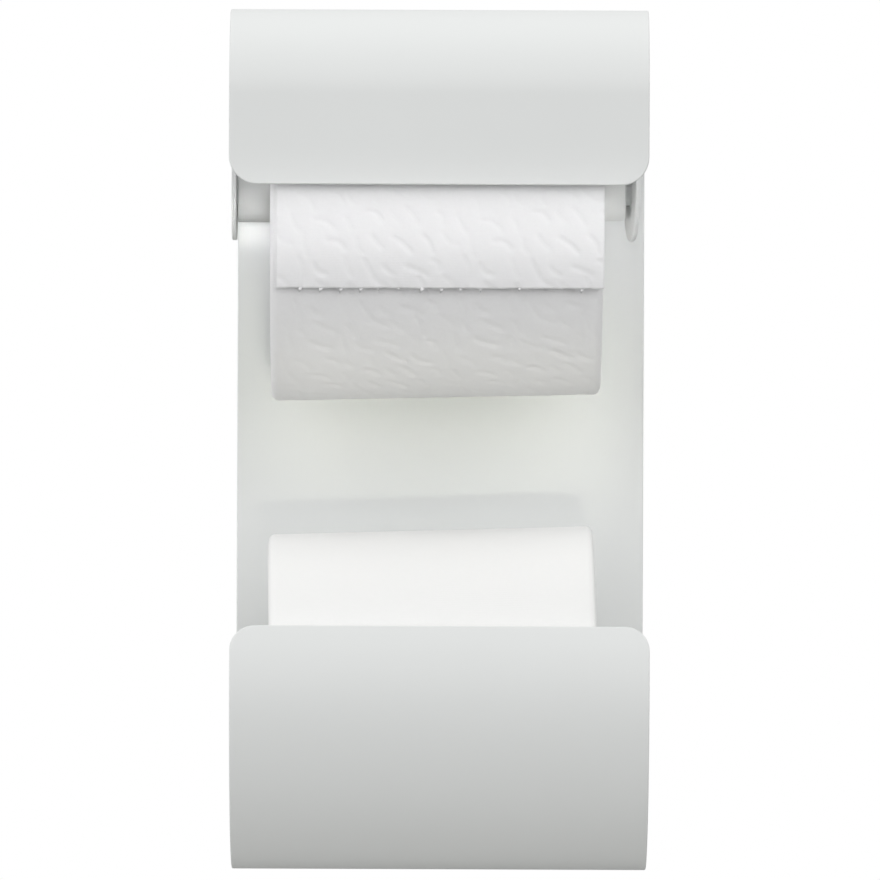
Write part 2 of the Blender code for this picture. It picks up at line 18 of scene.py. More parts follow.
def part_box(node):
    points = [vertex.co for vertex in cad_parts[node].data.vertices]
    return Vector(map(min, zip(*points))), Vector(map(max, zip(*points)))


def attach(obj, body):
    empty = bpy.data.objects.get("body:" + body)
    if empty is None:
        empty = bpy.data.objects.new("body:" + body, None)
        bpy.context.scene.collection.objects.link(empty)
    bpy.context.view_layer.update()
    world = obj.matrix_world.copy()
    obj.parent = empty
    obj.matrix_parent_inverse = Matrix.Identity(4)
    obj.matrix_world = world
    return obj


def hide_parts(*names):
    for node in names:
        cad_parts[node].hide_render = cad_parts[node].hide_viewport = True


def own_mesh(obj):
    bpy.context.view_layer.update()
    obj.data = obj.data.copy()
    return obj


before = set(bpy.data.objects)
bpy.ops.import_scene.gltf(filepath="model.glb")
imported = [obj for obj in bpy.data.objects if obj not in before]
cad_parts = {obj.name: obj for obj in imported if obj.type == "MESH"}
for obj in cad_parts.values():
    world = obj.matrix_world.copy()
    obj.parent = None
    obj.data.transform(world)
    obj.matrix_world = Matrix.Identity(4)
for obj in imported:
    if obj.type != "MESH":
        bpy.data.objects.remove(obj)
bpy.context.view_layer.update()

LOG = logging.getLogger("toilet_roll_holder")
MM = 0.001
HALF_TURN = math.pi
QUARTER_TURN = math.pi / 2
# How far a bend turns from one row of edges to the next
BEND_STEP = math.radians(3)
# Turns a piece that lies along X so that it stands along Z
TO_UPRIGHT = Matrix.Rotation(-QUARTER_TURN, 4, "Y")
# Points nearer to each other than this are one
SAME_PLACE = 1e-7
# The spacing of the Wave texture's bands at a scale of one
WAVE_SPACING = math.tau / 20
# The map of each paper's flat web, in metres
WEB_MAP = "web"
FLAT_POINT = tuple[float, float]
ADD_NODE = Callable[..., Node]
SOCKETS = bpy.types.bpy_prop_collection
# The kind of a tree's input for each type of value
SOCKET_KINDS = {float: "Float", int: "Int", tuple: "Vector", Object: "Object", Material: "Material"}
# The names of the two sides in the frame's pieces
SIDES = ("left", "right")


class Body(Enum):
    """The bodies of the holder that its pieces ride on."""

    HOLDER = "root"
    SPINDLE = "spindle"
    SPINDLE_END = "spindle_end"
    ROLL = "roll"
    TAIL = "tail"
    SPARE_ROLL = "spare_roll"


class Slot(Enum):
    """The record's material slots."""

    COATED_STEEL = "coated_steel"
    ZINC_PLATED_STEEL = "zinc_plated_steel"
    SPRING_STEEL = "spring_steel"
    QUILTED_PAPER = "quilted_paper"
    PLAIN_PAPER = "plain_paper"
    CARDBOARD = "cardboard"


# Nodes

def linear(colour: str) -> tuple[float, float, float, float]:
    """Turn an sRGB hex colour into linear values.

    Args:
        colour: The colour as "#RRGGBB".

    Returns:
        Red, green, blue and an alpha of one.
    """
    shares = [int(colour[start:start + 2], 16) / 255 for start in (1, 3, 5)]
    values = [s / 12.92 if s <= 0.04045 else ((s + 0.055) / 1.055) ** 2.4 for s in shares]
    return (*values, 1.0)


def feed(node: Node, feeds: dict) -> None:
    """Link or set some inputs of a node.

    Args:
        node: The node.
        feeds: What feeds each input: a value, a socket, or a node for its first output in use.
    """
    for name, source in feeds.items():
        if isinstance(source, Node):
            source = next(output for output in source.outputs if output.enabled)
        if isinstance(source, NodeSocket):
            node.id_data.links.new(source, node.inputs[name])
        else:
            node.inputs[name].default_value = source


def add_node(tree: NodeTree, kind: str, feeds: dict | None = None, **settings) -> Node:
    """Add one node to a tree.

    Args:
        tree: The tree that gets the node.
        kind: The node's type.
        feeds: What feeds its inputs.
        settings: The node's own settings.

    Returns:
        The new node.
    """
    made = tree.nodes.new(kind)
    for name, value in settings.items():
        setattr(made, name, value)
    feed(made, feeds or {})
    return made


# Materials

@dataclass(frozen=True, kw_only=True)
class Finish:
    """A finish of one even colour. The other finishes add their own nodes to it."""

    name: str
    colour: str
    roughness: float

    def build(self) -> Material:
        """Make the material.

        Returns:
            The material, with its shader fed by what dress gives.
        """
        material = bpy.data.materials.new(self.name)
        material.use_nodes = True
        add = partial(add_node, material.node_tree)
        place = add("ShaderNodeTexCoord").outputs["Object"]
        feed(material.node_tree.nodes["Principled BSDF"], self.dress(add, place))
        return material

    def dress(self, add: ADD_NODE, place: NodeSocket) -> dict:
        """Leave the finish plain.

        Args:
            add: Adds a node to the material.
            place: The piece's own coordinates.

        Returns:
            What feeds the shader.
        """
        return {"Base Color": linear(self.colour), "Roughness": self.roughness}


@dataclass(frozen=True, kw_only=True)
class PowderCoat(Finish):
    """Polyester powder coat, sprayed and baked on steel.

    Its melted grains leave a faint orange peel, so broad highlights look slightly grained and never mirror.
    """

    name: str = "white_powder_coat"
    colour: str = "#EEF0EF"
    shade: str = "#EBEDEC"
    roughness: float = 0.46
    roughness_spread: float = 0.05
    peel: float = 1.3 * MM
    peel_depth: float = 0.010 * MM
    grain: float = 0.35 * MM
    grain_depth: float = 0.004 * MM
    cloud: float = 45 * MM

    def dress(self, add: ADD_NODE, place: NodeSocket) -> dict:
        """Lay the peel over the finer grain, and let tint and gloss vary in wide clouds.

        Args:
            add: Adds a node to the material.
            place: The piece's own coordinates.

        Returns:
            What feeds the shader.
        """
        cloud = add("ShaderNodeTexNoise", {"Vector": place, "Scale": 1 / self.cloud, "Detail": 2.0})
        tints = {"Factor": cloud, "A": linear(self.colour), "B": linear(self.shade)}
        least = self.roughness - self.roughness_spread
        most = self.roughness + self.roughness_spread
        grain = add("ShaderNodeTexNoise", {"Vector": place, "Scale": 1 / self.grain, "Detail": 1.0})
        fine = add("ShaderNodeBump", {"Height": grain, "Distance": self.grain_depth})
        peel = add("ShaderNodeTexNoise", {"Vector": place, "Scale": 1 / self.peel, "Detail": 2.0})
        return {
            "Base Color": add("ShaderNodeMix", tints, data_type="RGBA"),
            "Roughness": add("ShaderNodeMapRange", {"Value": cloud, "To Min": least, "To Max": most}),
            "Normal": add("ShaderNodeBump", {"Height": peel, "Distance": self.peel_depth, "Normal": fine}),
        }


@dataclass(frozen=True, kw_only=True)
class PlatedSteel(Finish):
    """Steel with a thin electroplated or drawn surface.

    Zinc gives a pale, bluish metal with cloudy gloss, and drawn wire a darker one with faint scratches.
    """

    shade: str
    glossiest: float = 0.8
    dullest: float = 1.25
    cloud: float = 2.5 * MM
    scratch: float = 0.25 * MM
    scratch_depth: float = 0.006 * MM

    def dress(self, add: ADD_NODE, place: NodeSocket) -> dict:
        """Let gloss vary as the tint does, over fine scratches.

        Args:
            add: Adds a node to the material.
            place: The piece's own coordinates.

        Returns:
            What feeds the shader.
        """
        cloud = add("ShaderNodeTexNoise", {"Vector": place, "Scale": 1 / self.cloud, "Detail": 3.0})
        tints = {"Factor": cloud, "A": linear(self.colour), "B": linear(self.shade)}
        least = self.roughness * self.glossiest
        most = self.roughness * self.dullest
        scratch = add("ShaderNodeTexNoise", {"Vector": place, "Scale": 1 / self.scratch, "Detail": 2.0})
        return {
            "Metallic": 1.0,
            "Base Color": add("ShaderNodeMix", tints, data_type="RGBA"),
            "Roughness": add("ShaderNodeMapRange", {"Value": cloud, "To Min": least, "To Max": most}),
            "Normal": add("ShaderNodeBump", {"Height": scratch, "Distance": self.scratch_depth}),
        }


@dataclass(frozen=True, kw_only=True)
class Tissue(Finish):
    """Soft creped tissue, dry and matt.

    The fibres make a felt-like mottle and the creping a faint ribbing along the roll's axis. Real creping is
    about 0.3 mm apart, so it is drawn coarser to show.
    """

    shade: str
    roughness: float = 0.95
    sheen: float = 0.08
    specular: float = 0.25
    fibre: float = 0.9 * MM
    fibre_depth: float = 0.05 * MM
    crepe: float = 0.8 * MM
    crepe_depth: float = 0.015 * MM

    def dress(self, add: ADD_NODE, place: NodeSocket) -> dict:
        """Mottle the paper, and let the creping follow its own map, in metres across and along.

        Args:
            add: Adds a node to the material.
            place: The piece's own coordinates.

        Returns:
            What feeds the shader.
        """
        felt = {"Vector": place, "Scale": 1 / self.fibre, "Detail": 4.0, "Roughness": 0.6}
        fibre = add("ShaderNodeTexNoise", felt)
        tints = {"Factor": fibre, "A": linear(self.colour), "B": linear(self.shade)}
        web = add("ShaderNodeUVMap", uv_map=WEB_MAP)
        scale = WAVE_SPACING / self.crepe
        creping = {"Vector": web, "Scale": scale, "Distortion": 3.0, "Detail": 2.0, "Detail Scale": 0.6}
        ribs = add("ShaderNodeTexWave", creping, bands_direction="Y").outputs["Fac"]
        creped = add("ShaderNodeBump", {"Height": ribs, "Distance": self.crepe_depth})
        felted = {"Height": fibre, "Distance": self.fibre_depth, "Normal": creped}
        return {
            "Roughness": self.roughness,
            "Sheen Weight": self.sheen,
            "Specular IOR Level": self.specular,
            "Base Color": add("ShaderNodeMix", tints, data_type="RGBA"),
            "Normal": add("ShaderNodeBump", felted),
        }


@dataclass(frozen=True, kw_only=True)
class CoreCard(Finish):
    """Grey recycled card, wound in a spiral and glued.

    Flecks of fibre mottle it, and the butt joint of the strip runs round the tube as one dark helical line.
    """

    centre: tuple[float, float, float]
    tilt: float
    colour: str = "#B9B0A2"
    shade: str = "#A0968A"
    seam: str = "#7D746A"
    roughness: float = 0.9
    fleck: float = 0.7 * MM
    fleck_depth: float = 0.03 * MM
    seam_pitch: float = 75 * MM
    seam_share: float = 0.006

    def dress(self, add: ADD_NODE, place: NodeSocket) -> dict:
        """Mottle the card, and let the seam climb round the core's own axis.

        Args:
            add: Adds a node to the material.
            place: The piece's own coordinates.

        Returns:
            What feeds the shader.
        """
        flecks = {"Vector": place, "Scale": 1 / self.fleck, "Detail": 5.0, "Roughness": 0.7}
        fleck = add("ShaderNodeTexNoise", flecks)
        tints = {"Factor": fleck, "A": linear(self.shade), "B": linear(self.colour)}
        tint = add("ShaderNodeMix", tints, data_type="RGBA")
        axis = {"Vector": place, "Location": self.centre, "Rotation": (0.0, -self.tilt, 0.0)}
        centred = add("ShaderNodeMapping", axis, vector_type="TEXTURE")
        x, y, z = add("ShaderNodeSeparateXYZ", {"Vector": centred}).outputs
        angle = add("ShaderNodeMath", {0: y, 1: z}, operation="ARCTAN2")
        turn = add("ShaderNodeMath", {0: angle, 1: 1 / math.tau}, operation="MULTIPLY")
        climb = add("ShaderNodeMath", {0: x, 1: 1 / self.seam_pitch, 2: turn}, operation="MULTIPLY_ADD")
        share = add("ShaderNodeMath", {0: climb, 1: 1.0}, operation="FLOORED_MODULO")
        on_seam = add("ShaderNodeMath", {0: share, 1: self.seam_share}, operation="LESS_THAN")
        seamed = {"Factor": on_seam, "A": tint, "B": linear(self.seam)}
        return {
            "Roughness": self.roughness,
            "Base Color": add("ShaderNodeMix", seamed, data_type="RGBA"),
            "Normal": add("ShaderNodeBump", {"Height": fleck, "Distance": self.fleck_depth}),
        }


# Making and finishing a piece

def new_object(name: str, mesh: Mesh, finish: Material) -> Object:
    """Put a mesh into the scene as a smooth-shaded object.

    Args:
        name: The object's name.
        mesh: Its mesh, already in place.
        finish: Its material.

    Returns:
        The object.
    """
    mesh.name = name
    mesh.shade_smooth()
    mesh.materials.clear()
    mesh.materials.append(finish)
    thing = bpy.data.objects.new(name, mesh)
    bpy.context.scene.collection.objects.link(thing)
    return thing


def add_piece(
    name: str,
    mesh: Mesh,
    finish: Material,
    body: Body,
    slot: Slot,
    *nodes: str,
    flats: bool = True,
) -> Object:
    """Add a finished piece and hand it over to its body.

    Args:
        name: The piece's name.
        mesh: Its mesh, already in place.
        finish: Its material.
        body: The body that it rides on.
        slot: The record's slot that its finish belongs to. It is not used.
        nodes: The frame's pieces that it stands for.
        flats: Whether it has flat faces, to be shaded flat beside its small rounded edges.

    Returns:
        The piece.
    """
    piece = new_object(name, mesh, finish)
    if flats:
        weighted = piece.modifiers.new("flat_faces", "WEIGHTED_NORMAL")
        weighted.mode = "FACE_AREA"
        weighted.weight = 100
    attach(piece, body.value)
    if nodes:
        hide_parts(*nodes)
    LOG.info("%s rides on %s, %d faces", name, body.value, len(mesh.polygons))
    return piece


def box_of(node: str) -> tuple[Vector, Vector]:
    """Lowest and highest corner of a piece of the frame."""
    low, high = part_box(node)
    return Vector(low), Vector(high)


def middle_of(node: str) -> Vector:
    """Middle of a piece of the frame."""
    low, high = box_of(node)
    return (low + high) / 2


def mesh_from(bm: BMesh, placing: Matrix | None = None) -> Mesh:
    """Close a bmesh into a mesh with its faces outwards.

    Args:
        bm: The bmesh, which is freed.
        placing: Where the piece goes.

    Returns:
        The mesh.
    """
    if placing is not None:
        bm.transform(placing)
    bmesh.ops.recalc_face_normals(bm, faces=bm.faces)
    mesh = bpy.data.meshes.new("piece")
    bm.to_mesh(mesh)
    bm.free()
    return mesh


def bridge(bm: BMesh, ring: Sequence[BMVert], following: Sequence[BMVert]) -> None:
    """Join two rings of points by faces.

    Args:
        bm: The bmesh that holds them.
        ring: The first ring, or a single point.
        following: The second, or a single point.
    """
    for step in range(max(len(ring), len(following))):
        around = (ring[step - 1], ring[step]) if len(ring) > 1 else ring
        back = (following[step], following[step - 1]) if len(following) > 1 else following
        bm.faces.new((*around, *back))


def turn_outwards(mesh: Mesh) -> None:
    """Point a closed mesh's faces outwards."""
    bm = bmesh.new()
    bm.from_mesh(mesh)
    bmesh.ops.recalc_face_normals(bm, faces=bm.faces)
    bm.to_mesh(mesh)
    bm.free()


# Geometry Nodes

def grow(shape: Callable, seed_mesh: Mesh, **values) -> Mesh:
    """Run a Geometry Nodes tree on a mesh and keep the result as a plain mesh.

    The tree ends in real geometry that carries its finish.

    Args:
        shape: Adds the tree's own nodes and returns the last one.
        seed_mesh: The mesh that the tree starts from.
        values: The tree's inputs by name, with the material as finish.

    Returns:
        The grown mesh.
    """
    tree = bpy.data.node_groups.new(shape.__name__, "GeometryNodeTree")
    for way in ("INPUT", "OUTPUT"):
        tree.interface.new_socket("Geometry", in_out=way, socket_type="NodeSocketGeometry")
    sockets = {}
    for name, value in values.items():
        kind = "NodeSocket" + SOCKET_KINDS[type(value)]
        sockets[name] = tree.interface.new_socket(name, in_out="INPUT", socket_type=kind).identifier
    add = partial(add_node, tree)
    given = add("NodeGroupInput").outputs
    real = add("GeometryNodeRealizeInstances", {"Geometry": shape(add, given)})
    finished = add("GeometryNodeSetMaterial", {"Geometry": real, "Material": given["finish"]})
    add("NodeGroupOutput", {"Geometry": finished})
    carrier = bpy.data.objects.new("carrier", seed_mesh)
    bpy.context.scene.collection.objects.link(carrier)
    modifier = carrier.modifiers.new("grow", "NODES")
    modifier.node_group = tree
    for name, value in values.items():
        modifier[sockets[name]] = value
    bpy.context.view_layer.update()
    graph = bpy.context.evaluated_depsgraph_get()
    mesh = bpy.data.meshes.new_from_object(carrier.evaluated_get(graph), depsgraph=graph)
    bpy.data.objects.remove(carrier)
    return mesh


def wire_along_path(add: ADD_NODE, given: SOCKETS) -> Node:
    """Lay an even wire along a path of edges.

    Args:
        add: Adds a node to the tree.
        given: The tree's inputs.

    Returns:
        The node that carries the wire.
    """
    path = add("GeometryNodeMeshToCurve", {"Mesh": given["Geometry"]})
    upright = add("GeometryNodeSetCurveNormal", {"Curve": path}, mode="Z_UP")
    circle = {"Resolution": given["sides"], "Radius": given["wire_radius"]}
    section = add("GeometryNodeCurvePrimitiveCircle", circle)
    return add("GeometryNodeCurveToMesh", {"Curve": upright, "Profile Curve": section, "Fill Caps": True})


def items_on_points(add: ADD_NODE, given: SOCKETS) -> Node:
    """Set one item, turned alike, on each point of a mesh.

    Args:
        add: Adds a node to the tree.
        given: The tree's inputs.

    Returns:
        The node that carries the items.
    """
    item = add("GeometryNodeObjectInfo", {"Object": given["item"], "As Instance": True}).outputs["Geometry"]
    places = {"Points": given["Geometry"], "Instance": item, "Rotation": given["turn"]}
    return add("GeometryNodeInstanceOnPoints", places)


def torn_edge(add: ADD_NODE, given: SOCKETS) -> Node:
    """Scatter little pointed shreds of paper along a line of points, with some places bare.

    Args:
        add: Adds a node to the tree.
        given: The tree's inputs.

    Returns:
        The node that carries the shreds.
    """
    seed = given["seed"]

    def either_way(reach: NodeSocket) -> Node:
        """A random value no further from zero than the reach."""
        low = add("ShaderNodeMath", {0: reach, 1: -1.0}, operation="MULTIPLY")
        return add("FunctionNodeRandomValue", {"Min": low, "Max": reach, "Seed": seed})

    cone = {
        "Vertices": given["shred_sides"],
        "Radius Bottom": given["shred_width"],
        "Depth": given["shred_length"],
    }
    shift = add("ShaderNodeCombineXYZ", {"X": either_way(given["stray"])})
    size = add("FunctionNodeRandomValue", {"Min": given["smallest"], "Max": given["largest"], "Seed": seed})
    thin = add("ShaderNodeMath", {0: size, 1: given["flatness"]}, operation="MULTIPLY")
    kept = {"Probability": given["kept"], "Seed": seed}
    return add(
        "GeometryNodeInstanceOnPoints",
        {
            "Points": add("GeometryNodeSetPosition", {"Geometry": given["Geometry"], "Offset": shift}),
            "Selection": add("FunctionNodeRandomValue", kept, data_type="BOOLEAN"),
            "Instance": add("GeometryNodeMeshCone", cone),
            "Rotation": add("ShaderNodeCombineXYZ", {"X": HALF_TURN, "Y": either_way(given["slant"])}),
            "Scale": add("ShaderNodeCombineXYZ", {"X": size, "Y": thin, "Z": size}),
        },
    )


def line_mesh(points: Sequence[Sequence[float]], joined: bool) -> Mesh:
    """Make a mesh of loose points, or of one path through them.

    Args:
        points: The points.
        joined: Whether edges join each point to the next.

    Returns:
        The mesh.
    """
    mesh = bpy.data.meshes.new("points")
    edges = [(index, index + 1) for index in range(len(points) - 1)] if joined else []
    mesh.from_pydata([tuple(point) for point in points], edges, [])
    return mesh


def place_items(item: Mesh, points: Sequence[Vector], turn: Euler, finish: Material) -> Mesh:
    """Set copies of an item on points.

    Args:
        item: The item's mesh, made round its own origin.
        points: Where the copies go.
        turn: How each copy is turned.
        finish: Their material.

    Returns:
        One mesh of all the copies.
    """
    pattern = bpy.data.objects.new("pattern", item)
    bpy.context.scene.collection.objects.link(pattern)
    places = line_mesh(points, False)
    mesh = grow(items_on_points, places, item=pattern, turn=tuple(turn), finish=finish)
    bpy.data.objects.remove(pattern)
    return mesh


# Bent sheets

@dataclass(frozen=True)
class Fold:
    """One stretch of a sheet's outer face: straight, or round where it has a radius."""

    length: float
    radius: float = 0.0


@dataclass(frozen=True)
class FoldPath:
    """The line of a sheet's outer face in its own plane. The sheet's inner side is on its right."""

    start: FLAT_POINT
    heading: float
    folds: tuple[Fold, ...]

    def length(self) -> float:
        """The blank's length, along the outer face."""
        return sum(fold.length for fold in self.folds)

    def at(self, distance: float, depth: float) -> Vector:
        """Where a point of the blank lands when the sheet is folded.

        Args:
            distance: Its distance along the outer face.
            depth: Its depth below the outer face.

        Returns:
            The point in the path's plane.
        """
        place = Vector(self.start)
        heading = self.heading
        left = distance
        for fold in self.folds:
            step = min(left, fold.length)
            if fold.radius:
                centre = place + fold.radius * Vector((math.sin(heading), -math.cos(heading)))
                heading -= step / fold.radius
                place = centre - fold.radius * Vector((math.sin(heading), -math.cos(heading)))
            else:
                place = place + step * Vector((math.cos(heading), math.sin(heading)))
            left -= step
            if left <= 0:
                break
        return place + depth * Vector((math.sin(heading), -math.cos(heading)))

    def rows(self) -> list[float]:
        """Say where the sheet needs rows of edges to bend.

        Returns:
            Their distances along the outer face, in order.
        """
        places = []
        travelled = 0.0
        for fold in self.folds:
            steps = math.ceil(fold.length / fold.radius / BEND_STEP) if fold.radius else 1
            places += [travelled + fold.length * step / steps for step in range(steps + 1)]
            travelled += fold.length
        return sorted({round(place, 7) for place in places if 0 < place < travelled})


def arc(centre: FLAT_POINT, radius: float, first: float, turn: float, steps: int) -> list[FLAT_POINT]:
    """Lay points on an arc.

    Args:
        centre: Its centre.
        radius: Its radius.
        first: The angle at which it starts.
        turn: How far it turns.
        steps: The number of steps on it.

    Returns:
        The points, with both ends.
    """
    across, along = centre
    angles = (first + turn * step / steps for step in range(steps + 1))
    return [(across + radius * math.cos(angle), along + radius * math.sin(angle)) for angle in angles]


@dataclass(frozen=True)
class Hole:
    """A round hole in a blank, or a slot where its two end centres differ along the blank."""

    across: float
    start: float
    end: float
    radius: float
    steps: int = 16

    def outline(self, grown: float) -> list[FLAT_POINT]:
        """Lay points round the hole.

        Args:
            grown: How much larger the outline is than the hole.

        Returns:
            The outline on the flat blank.
        """
        radius = self.radius + grown
        end = arc((self.across, self.end), radius, 0.0, HALF_TURN, self.steps)
        start = arc((self.across, self.start), radius, HALF_TURN, HALF_TURN, self.steps)
        return without_repeats(end + start)


def without_repeats(points: list[FLAT_POINT]) -> list[FLAT_POINT]:
    """Drop each point that lies on the one before it.

    Args:
        points: A closed outline.

    Returns:
        The outline without them.
    """
    return [point for index, point in enumerate(points) if math.dist(point, points[index - 1]) > SAME_PLACE]


@dataclass
class BentSheet:
    """A blank of sheet steel with softened edges, cut, holed and folded along a path."""

    half_width: float
    thickness: float
    path: FoldPath
    start_corner: float
    end_corner: float
    holes: list[Hole] = field(default_factory=list)
    edge: float = 0.4 * MM
    edge_steps: int = 3
    corner_steps: int = 12

    def outline(self, inset: float) -> list[FLAT_POINT]:
        """Lay points round the blank.

        Args:
            inset: How much smaller the outline is than the blank.

        Returns:
            The outline on the flat blank.
        """
        length = self.path.length()
        corners = (
            (1, self.start_corner, self.start_corner, -QUARTER_TURN),
            (1, length - self.end_corner, self.end_corner, 0.0),
            (-1, length - self.end_corner, self.end_corner, QUARTER_TURN),
            (-1, self.start_corner, self.start_corner, HALF_TURN),
        )
        points = []
        for side, along, radius, first in corners:
            centre = (side * (self.half_width - radius), along)
            points += arc(centre, radius - inset, first, QUARTER_TURN, self.corner_steps)
        return without_repeats(points)

    def levels(self) -> list[tuple[float, float]]:
        """Shape the softened edge.

        Returns:
            The inset and the depth of each ring of points, from the outer face to the inner face.
        """
        turns = [QUARTER_TURN * step / self.edge_steps for step in range(self.edge_steps + 1)]
        outer = [(self.edge * (1 - math.sin(turn)), self.edge * (1 - math.cos(turn))) for turn in turns]
        return outer + [(inset, self.thickness - depth) for inset, depth in reversed(outer)]

    def build(self, place: Callable[[float, Vector], Vector]) -> Mesh:
        """Cut, round and fold the blank.

        Args:
            place: Turns a width and a point of the path's plane into a place.

        Returns:
            The closed mesh.
        """
        bm = bmesh.new()
        faces_of_blank = ([], [])
        for outline in (self.outline, *(hole.outline for hole in self.holes)):
            rings = [
                [bm.verts.new((across, along, depth)) for across, along in outline(inset)]
                for inset, depth in self.levels()
            ]
            for ring, following in zip(rings, rings[1:]):
                bridge(bm, ring, following)
            for edges, ring in zip(faces_of_blank, (rings[0], rings[-1])):
                edges += [bm.edges.get((ring[index - 1], ring[index])) for index in range(len(ring))]
        for edges in faces_of_blank:
            bmesh.ops.triangle_fill(bm, use_beauty=True, edges=edges, normal=(0, 0, 1))
        for row in self.path.rows():
            everything = [*bm.verts, *bm.edges, *bm.faces]
            cut = {"plane_co": (0, row, 0), "plane_no": (0, 1, 0)}
            bmesh.ops.bisect_plane(bm, geom=everything, dist=SAME_PLACE, **cut)
        for vert in bm.verts:
            vert.co = place(vert.co.x, self.path.at(vert.co.y, vert.co.z))
        return mesh_from(bm)


# Turned pieces

def soften(
    points: Sequence[FLAT_POINT], radius: float, closed: bool = False, steps: int = 3
) -> list[FLAT_POINT]:
    """Round the corners of a profile.

    Args:
        points: The profile's corners as (place on the axis, radius).
        radius: How far each rounding reaches.
        closed: Whether the profile joins up, so that its ends are corners too.
        steps: Points per rounding.

    Returns:
        The rounded profile.
    """
    rounded = []
    for index, point in enumerate(points):
        if not closed and index in (0, len(points) - 1):
            rounded.append(point)
            continue
        corner = Vector(point)
        before = Vector(points[index - 1]) - corner
        after = Vector(points[(index + 1) % len(points)]) - corner
        first = corner + before.normalized() * min(radius, before.length / 2)
        last = corner + after.normalized() * min(radius, after.length / 2)
        for step in range(steps + 1):
            share = step / steps
            bend = first * (1 - share) ** 2 + corner * 2 * share * (1 - share) + last * share ** 2
            rounded.append((bend.x, bend.y))
    return rounded


def turn_profile(profile: Sequence[FLAT_POINT], sides: int, closed: bool) -> BMesh:
    """Turn a profile about the X axis.

    Args:
        profile: Points as (place on the axis, radius). An end with no radius becomes a pole.
        sides: Steps round the axis.
        closed: Whether the profile's last point joins its first.

    Returns:
        The turned shape.
    """
    bm = bmesh.new()
    rings = []
    for along, radius in profile:
        if radius == 0:
            rings.append([bm.verts.new((along, 0, 0))])
            continue
        angles = (math.tau * step / sides for step in range(sides))
        rings.append([bm.verts.new((along, radius * math.cos(a), radius * math.sin(a))) for a in angles])
    pairs = list(zip(rings, rings[1:])) + ([(rings[-1], rings[0])] if closed else [])
    for ring, following in pairs:
        bridge(bm, ring, following)
    return bm


# The steel sheets

@dataclass
class BackPanel:
    """The wall panel that runs on into the round tray, with holes for four wall screws."""

    thickness: float = 1.5 * MM
    lip_rise: float = 17.7 * MM
    top_corner: float = 2 * MM
    lip_corner: float = 7.5 * MM
    hole_radius: float = 2.5 * MM
    hole_margin: float = 21 * MM
    upper_hole_drop: float = 34 * MM
    lower_hole_rise: float = 8.5 * MM

    def build(self, coat: Material) -> None:
        """Fold the panel from one blank and mount it.

        Args:
            coat: The powder coat.
        """
        low, high = box_of("back_panel")
        radius = -low.y / 2
        straight = high.z - (low.z + radius)
        lean = math.asin(self.lip_rise / radius)
        path = FoldPath(
            (high.y, high.z), -QUARTER_TURN, (Fold(straight), Fold(radius * (HALF_TURN + lean), radius))
        )
        across = high.x - self.hole_margin
        holes = [
            Hole(side * across, distance, distance, self.hole_radius)
            for side in (-1, 1)
            for distance in (self.upper_hole_drop, straight - self.lower_hole_rise)
        ]
        sheet = BentSheet(high.x, self.thickness, path, self.top_corner, self.lip_corner, holes)
        mesh = sheet.build(lambda width, point: Vector((width, point.x, point.y)))
        add_piece("back_panel_sheet", mesh, coat, Body.HOLDER, Slot.COATED_STEEL, "back_panel")


@dataclass
class Hood:
    """The hood over the roll in use: a rear flange, the top, the round front bend and the front."""

    thickness: float = 1.5 * MM
    front_bend: float = 26 * MM
    rear_bend: float = 3 * MM
    lip_corner: float = 8.5 * MM
    flange_corner: float = 3 * MM
    flange_height: float = 22 * MM
    hole_radius: float = 3 * MM
    stud_drop: float = 12 * MM

    def build(self, coat: Material) -> None:
        """Fold the hood from one blank and mount it.

        Args:
            coat: The powder coat.
        """
        low, high = box_of("hood_cover")
        centre = (low.x + high.x) / 2
        flange = self.flange_height - self.rear_bend
        path = FoldPath(
            (low.y, low.z),
            QUARTER_TURN,
            (
                Fold(high.z - low.z - self.front_bend),
                Fold(self.front_bend * QUARTER_TURN, self.front_bend),
                Fold(high.y - low.y - self.front_bend - self.rear_bend),
                Fold(self.rear_bend * QUARTER_TURN, self.rear_bend),
                Fold(flange),
            ),
        )
        at_stud = path.length() - self.flange_height + self.stud_drop
        holes = [
            Hole(middle_of(f"hood_nut_{side}").x - (high.x + low.x), at_stud, at_stud, self.hole_radius)
            for side in SIDES
        ]
        half_width = (high.x - low.x) / 2
        sheet = BentSheet(half_width, self.thickness, path, self.lip_corner, self.flange_corner, holes)
        mesh = sheet.build(lambda width, point: Vector((centre + width, point.x, point.y)))
        add_piece("hood_sheet", mesh, coat, Body.HOLDER, Slot.COATED_STEEL, "hood_cover")


